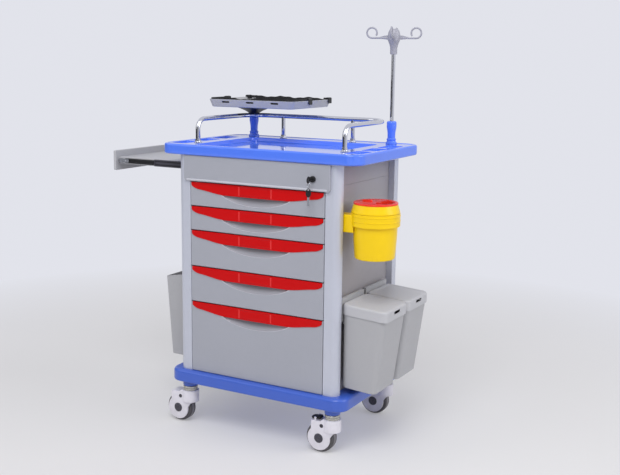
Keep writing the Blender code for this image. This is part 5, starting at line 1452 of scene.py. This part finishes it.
@dataclass
class Shelf:
    """The pull-out writing shelf: a soft-edged end panel, a board and two ball-bearing slides."""

    shop: Workshop
    end_x: tuple[float, float] = (-0.637, -0.6265)
    tail: float = -0.1917
    half_depth: float = 0.165
    middle: float = 0.8958
    end_half: float = 0.035
    half_thick: float = 0.012
    slide: tuple[float, float] = (0.148, 0.1557)
    channel: float = -0.463

    def build(self) -> None:
        """Makes all the pieces of the shelf."""
        self.end()
        self.board()
        for label, side in (("front", -1), ("back", 1)):
            self.slides(label, side)

    def end(self) -> None:
        """The end panel with small round corners."""
        low = (self.end_x[0], -self.half_depth, self.middle - self.end_half)
        high = (self.end_x[1], self.half_depth, self.middle + self.end_half)
        form = Form.block(low, high)
        form.bevel(form.along(Axis.X), 0.004, 5)
        for way in ((-1, 0, 0), (1, 0, 0)):
            form.bevel(form.cap(way).edges, 0.0014, 3)
        self.shop.piece("shelf_end_panel", form, TRAY_GREY, "shelf", ["shelf_end"])

    def board(self) -> None:
        """The board, with a shallow writing field drawn into its top."""
        y = self.slide[0] - GAP
        low = (self.end_x[1] + GAP, -y, self.middle - self.half_thick)
        high = (self.tail, y, self.middle + self.half_thick)
        form = Form.block(low, high)
        form.bevel(form.sharp(), 0.0014, 3)
        form.step(form.cap((0, 0, 1)), (0.014, 0.0), (0.0008, -0.0008), (0.001, 0.0))
        self.shop.piece("shelf_board_panel", form, TRAY_GREY, "shelf", ["shelf_board"])

    def slides(self, label: str, side: int) -> None:
        """A telescopic slide: an inner rail, the channel it runs in, its balls and its end bracket.

        Args:
            label: front or back.
            side: -1 at the front, 1 at the back.
        """
        ys = sorted((side * self.slide[0], side * (self.slide[1] - 0.0012)))
        start = self.end_x[1] + 0.034
        form = Form.block((start, ys[0], self.middle - 0.0085), (self.tail, ys[1], self.middle + 0.0085))
        form.bevel(form.along(Axis.X), 0.0016, 3)
        form.step(form.cap((0, side, 0)), (0.0030, 0.0), (0.0008, -0.0020), (0.0006, 0.0))
        name = f"shelf_slide_{label}"
        self.shop.piece(f"{name}_rail", form, BLACK_PLASTIC, "shelf", [name])
        ys = sorted((side * self.slide[0], side * self.slide[1]))
        low = (self.channel, ys[0], self.middle - self.half_thick)
        form = Form.block(low, (self.tail, ys[1], self.middle + self.half_thick))
        form.bevel(form.along(Axis.X), 0.0018, 3)
        form.step(form.cap((0, side, 0)), (0.0026, 0.0), (0.0006, -0.0024), (0.0022, 0.0), (0.0006, 0.0012))
        self.shop.piece(f"{name}_channel", form, CAP_GREY, "shelf", slot="black_plastic")
        balls = Form()
        y = side * (self.slide[1] - 0.0022)
        for number in range(7):
            for rise in (-0.0050, 0.0050):
                at = (self.channel - 0.012 - number * 0.011, y, self.middle + rise)
                balls.joined(Form.ball(at, (0.0014, 0.0011, 0.0014), 16))
        self.shop.piece(f"{name}_balls", balls, STEEL, "shelf", slot="chrome")
        low = (self.end_x[1] + 0.004, ys[0], self.middle - 0.007)
        bracket = Form.block(low, (start + 0.016, ys[1], self.middle + 0.007))
        bracket.bevel(bracket.along(Axis.Y), 0.004, 5)
        bracket.step(bracket.cap((0, side, 0)), (0.0016, 0.0), (0.0006, -0.0010), (0.0006, 0.0))
        screw = [(0.0, -0.002), (0.0028, -0.002), (0.0028, 0.0), (0.0018, 0.0006), (0.0, 0.0006)]
        y = side * (self.slide[1] - 0.001)
        for x in (self.end_x[1] + 0.014, self.end_x[1] + 0.034):
            bracket.joined(Form.turned(flipped(screw, side), (x, y, self.middle), Axis.Y, 24))
        self.shop.piece(f"{name}_bracket", bracket, STEEL, "shelf", slot="chrome")


@dataclass
class Lock:
    """The lock barrel, the key in it and a spare that hangs from the key by a split ring."""

    shop: Workshop
    at: tuple[float, float, float] = (0.2155, -0.238, 0.8948)
    radius: float = 0.010
    proud: float = 0.006
    bow_y: float = -0.266
    bow: float = 0.011
    bow_thick: float = 0.003
    hole: float = 0.003
    ring: float = 0.013
    wire: float = 0.0009
    turn: float = math.radians(45)
    spare_drop: float = 0.0098
    spare_turn: float = math.radians(-58)

    def build(self) -> None:
        """Makes the barrel, the key, the ring and the spare."""
        x, y, z = self.at
        r, out = self.radius, -self.proud
        barrel = [(0.0032, out), (0.0055, out), (0.0062, out + 0.0004), (0.0086, out), (0.0096, out + 0.0005)]
        barrel += [(r, out + 0.0014), (r, 0.034), (0.0032, 0.034)]
        form = Form.turned(barrel, (x, y, z), Axis.Y, 48)
        self.shop.piece("lock_barrel", form, BLACK_PLASTIC, replaces=["lock_cylinder"])
        self.key()
        self.spare()

    def bow_form(self, stretch: float, drop: float) -> Form:
        """A soft-edged oval disc in the YZ plane with a hole for the ring.

        Args:
            stretch: How much taller it is than a round one.
            drop: How far the hole stands over the middle.

        Returns:
            The disc about the origin.
        """
        half, r = self.bow_thick / 2, self.bow
        disc = [(0.0, half), (r - 0.0010, half), (r - 0.0003, half - 0.0003), (r, half - 0.0010)]
        form = Form.turned(mirrored(disc), (0, 0, 0), Axis.X, 48)
        bmesh.ops.scale(form.bm, vec=(1.0, 1.0 / stretch, stretch), verts=form.bm.verts)
        return form.cut(Form.rod(self.hole, (0.01, -0.01), (0, 0, drop), Axis.X, 28))

    def key(self) -> None:
        """The key in the lock: a black bow and a round shank."""
        x, _, z = self.at
        form = self.bow_form(1.0, 0.0)
        shank = Bar((0, self.bow - 0.003, 0), (0, 1, 0), 0.003, 20).straight(0.028 + 0.012 - self.bow + 0.003)
        form.joined(shank.ended()).moved((x, self.bow_y, z))
        self.shop.piece("lock_key_blank", form, BLACK_PLASTIC, "key", ["lock_key"])

    def spare(self) -> None:
        """The split ring that hangs in the key's hole, and the spare key that hangs in the ring."""
        x, _, z = self.at
        play = self.hole - self.wire
        centre = Vector((x, self.bow_y, z - play - self.ring))
        bar = Bar((0, 0, self.ring), (0, 1, 0), self.wire, 12)
        form = bar.bend((0, 0, -1), self.ring, math.radians(354), 48).ended()
        form.tilted(self.turn, Axis.Z, (0, 0, 0)).moved(centre)
        self.shop.piece("key_ring", form, STEEL, slot="chrome")
        spare_at = centre - Vector((0, 0, self.ring + play + self.spare_drop))
        bow = self.bow_form(1.3, self.spare_drop)
        bow.tilted(self.spare_turn, Axis.Z, (0, 0, 0)).moved(spare_at)
        self.shop.piece("spare_key_bow", bow, BLACK_PLASTIC, slot="black_plastic")
        blade = Form.block((-0.001, -0.0035, -0.044), (0.001, 0.0035, -0.012))
        notches = []
        for number, depth in enumerate((0.0012, 0.0020, 0.0009, 0.0016, 0.0011, 0.0018)):
            foot = -0.0225 - number * 0.0034
            outline = [(0.0035 - depth, foot), (0.006, foot + 0.0019), (0.006, foot - 0.0019)]
            notches.append(Form.prism(outline, Axis.X, (-0.004, 0.004)))
        blade.cut(*notches)
        blade.tilted(self.spare_turn, Axis.Z, (0, 0, 0)).moved(spare_at)
        self.shop.piece("spare_key_blade", blade, STEEL, slot="chrome")


@dataclass
class Bin:
    """One tapered waste bin with a deep hinged lid."""

    shop: Workshop
    label: str
    front: float
    length: float = 0.172
    inner: float = 0.300
    top_reach: float = 0.455
    bottom_reach: float = 0.420
    low: float = 0.222
    rim: float = 0.4655
    hinge: float = 0.5005
    slope: float = 0.07
    strip: float = 0.014
    draft: float = 0.008
    corner: float = 0.020
    wall: float = 0.0025

    def build(self) -> None:
        """Makes the bin and its lid."""
        self.tub()
        self.lid()

    def tub(self) -> None:
        """The tub: tapered walls, a rolled rim, hangers at the back and a hinge strip."""
        back = self.front + self.length
        w, d = self.wall, self.draft
        high = (self.bottom_reach, back - d, self.rim)
        form = Form.block((self.inner, self.front + d, self.low), high, self.corner, 9)
        form.bevel(form.cap((0, 0, -1)).edges, 0.004, 4)
        low, high = (self.inner, self.front + 0.0038), (self.top_reach - 0.0030, back - 0.0038)
        cap = form.fit(form.cap((0, 0, 1)), low, high)
        form.step(cap, (w, 0.0), (0.0, w + self.low - self.rim))
        form.fit(cap, (self.inner + w, self.front + d + w), (self.bottom_reach - w, back - d - w))
        form.step(cap, (0.004, 0.0))
        form.bevel(form.ridge(0.9, lambda co: co.z > self.rim - ON_LEVEL), 0.0008, 2)
        hang = self.rim - 0.012
        high = (self.inner + 0.002, back - 0.030, hang)
        hanger = Form.block((SHEET_FACE, self.front + 0.030, hang - 0.028), high)
        low = (self.inner - 0.010, self.front + 0.006, hang - 0.014)
        strip = Form.block(low, (self.inner - GAP, back - 0.006, self.hinge + self.strip))
        form.leaned(self.slope, self.inner)
        form.joined(hanger.bevel(hanger.sharp(), 0.001, 2), strip.bevel(strip.sharp(), 0.0008, 2))
        name = f"bin_{self.label}"
        self.shop.piece(f"{name}_tub", form, BIN_GREY, replaces=[name])

    def lid(self) -> None:
        """The lid: a hollow cap with a soft brow, a finger notch and a drawn panel on top."""
        back = self.front + self.length
        low, reach = self.rim + GAP, self.top_reach + 0.001
        front, rear = self.front + 0.001, back - 0.001
        form = Form.block((self.inner, front, low), (reach, rear, self.hinge), self.corner, 9)
        form.bevel(form.cap((0, 0, 1)).edges, 0.0075, 5)
        form.step(form.cap((0, 0, 1)), (0.008, 0.0), (0.0012, -0.0009), (0.001, 0.0))
        form.step(form.cap((0, 0, -1)), (self.wall, 0.0), (0.0, low - self.hinge + 0.005))
        middle = (front + rear) / 2
        high = (reach + 0.01, middle + 0.022, low + 0.0257)
        notch = Form.block((reach - 0.006, middle - 0.022, low + 0.0157), high)
        form.cut(notch.bevel(notch.along(Axis.X), 0.003, 5))
        form.leaned(self.slope, self.inner)
        name = f"bin_{self.label}_lid"
        # The lid's paler grey is painted light on the bin plastic.
        self.shop.piece(f"{name}_cap", form, BIN_LID_PAINTED_LIGHT_GREY, name, [name], slot="bin_grey")


@dataclass
class DocumentBox:
    """The open document box on the left, its side rims sloping down to the outer wall."""

    shop: Workshop
    inner: float = -0.300
    top_reach: float = -0.440
    bottom_reach: float = -0.420
    half: float = 0.130
    low: float = 0.204
    rim: float = 0.516
    slope: float = 0.028
    draft: float = 0.006
    wall: float = 0.0025

    def build(self) -> None:
        """Makes the box as one piece."""
        w, d, half = self.wall, self.draft, self.half
        form = Form.block((self.bottom_reach, d - half, self.low), (self.inner, half - d, self.rim), 0.008, 7)
        form.bevel(form.cap((0, 0, -1)).edges, 0.003, 3)
        cap = form.fit(form.cap((0, 0, 1)), (self.top_reach, -half), (self.inner, half))
        form.step(cap, (w, 0.0), (0.0, w + self.low - self.rim))
        form.fit(cap, (self.bottom_reach + w, d + w - half), (self.inner - w, half - d - w))
        right, left = self.inner + 0.01, self.top_reach - 0.01
        wedge = [(right, self.rim + 0.03), (left, self.rim + 0.03), (left, self.rim - self.slope)]
        wedge += [(right, self.rim)]
        form.cut(Form.prism(wedge, Axis.Y, (-half - 0.02, half + 0.02)))
        rims = form.ridge(0.9, lambda co: co.z > self.rim - self.slope - 0.002)
        form.bevel([edge for edge in rims if abs(edge.verts[0].co.z - edge.verts[1].co.z) < 0.04], 0.0008, 2)
        top = self.rim - 0.020
        hanger = Form.block((self.inner - 0.002, -0.060, top - 0.040), (-SHEET_FACE, 0.060, top))
        form.joined(hanger.bevel(hanger.sharp(), 0.001, 2))
        self.shop.piece("document_box", form, BIN_GREY, replaces=["storage_box"])


@dataclass
class SharpsPot:
    """The yellow sharps pot in its ring bracket, with a red lid over its mouth."""

    shop: Workshop
    place: tuple[float, float] = (0.3865, -0.140)
    low: float = 0.6475
    top: float = 0.820
    rim: float = 0.070
    collar: float = 0.0765
    mouth: float = 0.067
    neck: float = 0.0705
    foot: float = 0.064
    seat: float = 0.793
    lid_top: float = 0.826
    lid_low: float = 0.814
    wall: float = 0.0025

    def build(self) -> None:
        """Makes the pot, the lid and the bracket."""
        self.pot()
        self.lid()
        self.bracket()

    def pot(self) -> None:
        """The pot: a slightly bulged wall, a round foot and a deep rim."""
        w, low, top = self.wall, self.low, self.top
        profile = [(self.rim - 0.0014, top), (self.rim - 0.0004, top - 0.0004), (self.rim, top - 0.0014)]
        profile += [(self.collar, self.seat + 0.0035), (self.collar, self.seat + 0.001)]
        profile += [(self.collar - 0.001, self.seat), (self.neck, self.seat)]
        for step in range(1, 9):
            part = step / 9
            swell = 0.0016 * math.sin(math.pi * part)
            height = self.seat + (low + 0.006 - self.seat) * part
            profile.append((self.neck + (self.foot - self.neck) * part + swell, height))
        profile += [(self.foot, low + 0.006), (self.foot - 0.0012, low + 0.0022)]
        profile += [(self.foot - 0.004, low), (0.0, low)]
        profile += [(0.0, low + w), (self.foot - w - 0.002, low + w), (self.neck - w, self.seat - w)]
        profile += [(self.mouth - 0.006, self.lid_low - 0.0053), (self.mouth - 0.006, self.lid_low - GAP)]
        profile += [(self.mouth, self.lid_low - GAP), (self.mouth, top - 0.0006), (self.mouth + 0.0006, top)]
        form = Form.turned(profile, (*self.place, 0.0), Axis.Z, 80)
        self.shop.piece("sharps_pot", form, SHARPS_YELLOW, replaces=["sharps_container"])

    def lid(self) -> None:
        """The red lid with a raised collar, a crescent mouth and a grip ridge."""
        plug, low, top = self.mouth - 0.0007, self.lid_low, self.lid_top
        profile = [(0.0, top), (0.050, top), (0.0525, top - 0.0012), (0.0575, top - 0.0012), (0.060, top)]
        profile += [(self.rim - 0.0020, top), (self.rim - 0.0006, top - 0.0006), (self.rim, top - 0.002)]
        profile += [(self.rim, self.top + GAP), (plug, self.top + GAP), (plug, low), (0.0, low)]
        form = Form.turned(profile, (0, 0, 0), Axis.Z, 80)
        mouth = [(0.012 + 0.044 * math.cos(a), 0.044 * math.sin(a)) for a in self.sweep(-80, 80, 20)]
        mouth += [(0.006 + 0.012 * math.cos(a), 0.012 * math.sin(a)) for a in self.sweep(80, -80, 10)]
        form.cut(Form.prism(mouth, Axis.Z, (low - 0.01, top + 0.01)))
        ridge = Form.block((-0.046, -0.004, top - 0.001), (-0.012, 0.004, top + 0.005), 0.0035, 5)
        form.joined(ridge.bevel(ridge.cap((0, 0, 1)).edges, 0.002, 3))
        form.moved((*self.place, 0.0))
        self.shop.piece("sharps_lid_disc", form, LID_RED, "sharps_lid", ["sharps_lid"])

    def sweep(self, start: float, end: float, steps: int) -> list[float]:
        """Even angles from start to end, given in degrees."""
        return [math.radians(start + (end - start) * step / steps) for step in range(steps + 1)]

    def bracket(self) -> None:
        """The ring under the collar and its arm to the side sheet."""
        top, low = self.seat - 0.0006, self.seat - 0.041
        hold, outer = self.neck + GAP, self.neck + 0.0071
        ring = [(hold, top), (outer - 0.001, top), (outer, top - 0.001)]
        for drop in (0.006, 0.022):
            ring += [(outer, top - drop), (outer + 0.0010, top - drop - 0.0008)]
            ring += [(outer + 0.0010, top - drop - 0.0024)]
            ring += [(outer, top - drop - 0.0032)]
        ring += [(outer, low + 0.001), (outer - 0.001, low), (hold, low)]
        form = Form.turned(ring, (*self.place, 0.0), Axis.Z, 80)
        high = (self.place[0] - 0.050, -0.145, self.seat - 0.0068)
        arm = Form.block((SHEET_FACE, -0.195, low - 0.022), high)
        arm.bevel(arm.along(Axis.X), 0.004, 4)
        arm.cut(Form.rod(hold + 0.001, (1.0, 0.5), (*self.place, 0.0), Axis.Z, 80))
        form.joined(arm)
        self.shop.piece("sharps_ring", form, SHARPS_YELLOW, replaces=["sharps_bracket"])


@dataclass
class Studio:
    """A pale floor with a far backdrop, soft light and the photo's camera."""

    camera_at: tuple[float, float, float] = (1.75025, -2.8989, 1.2674)
    yaw: float = 0.5033
    pitch: float = -0.1824
    roll: float = 0.0122
    lens: float = 56.88
    reach: float = 14.0
    wall: tuple[float, float, float, float] = (0.76, 0.77, 0.83, 1.0)
    ground: tuple[float, float, float, float] = (0.71, 0.70, 0.72, 1.0)
    near: float = 1.1
    fade: float = 1.5
    cards: tuple[tuple[tuple[float, float], tuple[float, float]], ...] = (
        ((-4.2, -5.0), (0.4, -4.98)),
        ((-4.02, -4.4), (-4.0, 1.4)),
        ((1.4, -5.0), (2.0, -4.98)),
        ((3.0, -5.0), (6.0, -4.98)),
    )
    lamps: tuple[tuple[str, Point, Point, float, float], ...] = (
        ("key_light", (1.0, -2.6, 3.9), (0.1, 0.0, 0.6), 2.2, 102.0),
        ("side_light", (3.4, 0.4, 2.2), (0.1, 0.0, 0.6), 1.8, 34.0),
        ("fill_light", (-2.8, -2.4, 2.2), (0.0, 0.0, 0.6), 2.4, 16.0),
    )

    def build(self) -> None:
        """Sets up the floor, the light and the camera."""
        self.floor()
        self.lights()
        for number, (low, high) in enumerate(self.cards):
            self.flag(number, low, high)
        self.camera()
        bpy.context.scene.view_settings.view_transform = "Standard"

    def floor(self) -> None:
        """A wide pale floor that fades into the backdrop's tone round the cart."""
        form = Form()
        bmesh.ops.create_grid(form.bm, x_segments=1, y_segments=1, size=self.reach)
        mesh = form.mesh("studio_floor")
        shader = Shader("studio_floor")
        tone = shader.noise(0.6, 2.0)
        colour = shader.blend((0.78, 0.775, 0.79, 1.0), (0.82, 0.815, 0.83, 1.0), tone)
        shader.feed(shader.surface.inputs["Base Color"], colour)
        shader.surface.inputs["Roughness"].default_value = 0.65
        away = (shader.axis("X") ** 2.0 + shader.axis("Y") ** 2.0) ** 0.5
        far = ((away - self.near) * (1 / self.fade)).kept(0.0, 1.0)
        glow = shader.node("ShaderNodeEmission", {}, {"Color": shader.blend(self.ground, self.wall, far)})
        seen = shader.rays("Is Camera Ray", "Is Glossy Ray") * (far * 0.66 + 0.34)
        sockets = {0: seen, 1: shader.surface.outputs[0], 2: glow.outputs[0]}
        mixed = shader.node("ShaderNodeMixShader", {}, sockets)
        shader.node("ShaderNodeOutputMaterial", {"is_active_output": True}, {"Surface": mixed.outputs[0]})
        mesh.materials.append(shader.material)
        linked("studio_floor", mesh)

    def flag(self, number: int, low: tuple[float, float], high: tuple[float, float]) -> None:
        """A dark card beside or behind the camera that only reflections see.

        Args:
            number: Its number.
            low: Its lower corner on the floor plan.
            high: Its upper corner on the floor plan.
        """
        form = Form.block((*low, 0.25), (*high, 2.6))
        mesh = form.mesh(f"studio_flag_{number}")
        shader = Shader(f"studio_flag_{number}")
        shader.feed(shader.surface.inputs["Base Color"], (0.03, 0.03, 0.035, 1.0))
        shader.surface.inputs["Roughness"].default_value = 0.9
        mesh.materials.append(shader.material)
        made = linked(mesh.name, mesh)
        made.visible_camera = made.visible_diffuse = made.visible_shadow = False

    def lights(self) -> None:
        """A bright even room and three soft area lights."""
        world = bpy.data.worlds.new("studio_world")
        world.use_nodes = True
        graph = Graph(world.node_tree)
        room = graph.tree.nodes["Background"]
        room.inputs["Color"].default_value = (0.93, 0.94, 0.96, 1.0)
        room.inputs["Strength"].default_value = 0.50
        wall = graph.node("ShaderNodeBackground", {}, {"Color": self.wall})
        seen = graph.rays("Is Camera Ray", "Is Glossy Ray", "Is Transmission Ray")
        mixed = graph.node("ShaderNodeMixShader", {}, {0: seen, 1: room.outputs[0], 2: wall.outputs[0]})
        graph.feed(graph.tree.nodes["World Output"].inputs["Surface"], mixed.outputs[0])
        bpy.context.scene.world = world
        for lamp in self.lamps:
            self.area(*lamp)

    def area(self, name: str, at: Point, towards: Point, size: float, power: float) -> None:
        """A square soft light that looks at a point."""
        light = bpy.data.lights.new(name, "AREA")
        light.shape = "SQUARE"
        light.size = size
        light.energy = power
        made = linked(name, light)
        made.location = at
        made.rotation_euler = (Vector(towards) - Vector(at)).to_track_quat("-Z", "Y").to_euler()

    def camera(self) -> None:
        """The camera at the photo's place, turned, tilted and rolled as the photo is."""
        data = bpy.data.cameras.new("photo_camera")
        data.sensor_width = 36.0
        data.lens = self.lens
        made = linked("photo_camera", data)
        flat = math.cos(self.pitch)
        ahead = Vector((-math.sin(self.yaw) * flat, math.cos(self.yaw) * flat, math.sin(self.pitch)))
        level = Vector((math.cos(self.yaw), math.sin(self.yaw), 0.0))
        upright = level.cross(ahead)
        right = level * math.cos(self.roll) + upright * math.sin(self.roll)
        up = upright * math.cos(self.roll) - level * math.sin(self.roll)
        turn = Matrix((right, up, -ahead)).transposed().to_4x4()
        made.matrix_world = Matrix.Translation(Vector(self.camera_at)) @ turn
        bpy.context.scene.camera = made


def main() -> None:
    """Builds every sub-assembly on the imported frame."""
    logging.basicConfig(level=logging.INFO, format="%(name)s %(message)s")
    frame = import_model()
    shop = Workshop(frame)
    base = Base(shop)
    base.build()
    for label, place in zip(("front_left", "front_right", "back_left", "back_right"), base.places):
        Caster(shop, label, place, label in ("front_right", "back_left")).build()
    Frame(shop).build()
    levels = (0.8548, 0.7727, 0.6906, 0.56745, 0.4443, 0.198)
    for number, (high, low) in enumerate(zip(levels, levels[1:]), start=1):
        Drawer(shop, number, low, high).build()
    Worktop(shop).build()
    GuardRail(shop).build()
    DripPole(shop).build()
    Platform(shop).build()
    Shelf(shop).build()
    Lock(shop).build()
    Bin(shop, "front", -0.195).build()
    Bin(shop, "back", -0.019).build()
    DocumentBox(shop).build()
    SharpsPot(shop).build()
    Studio().build()


if __name__ == "__main__":
    main()
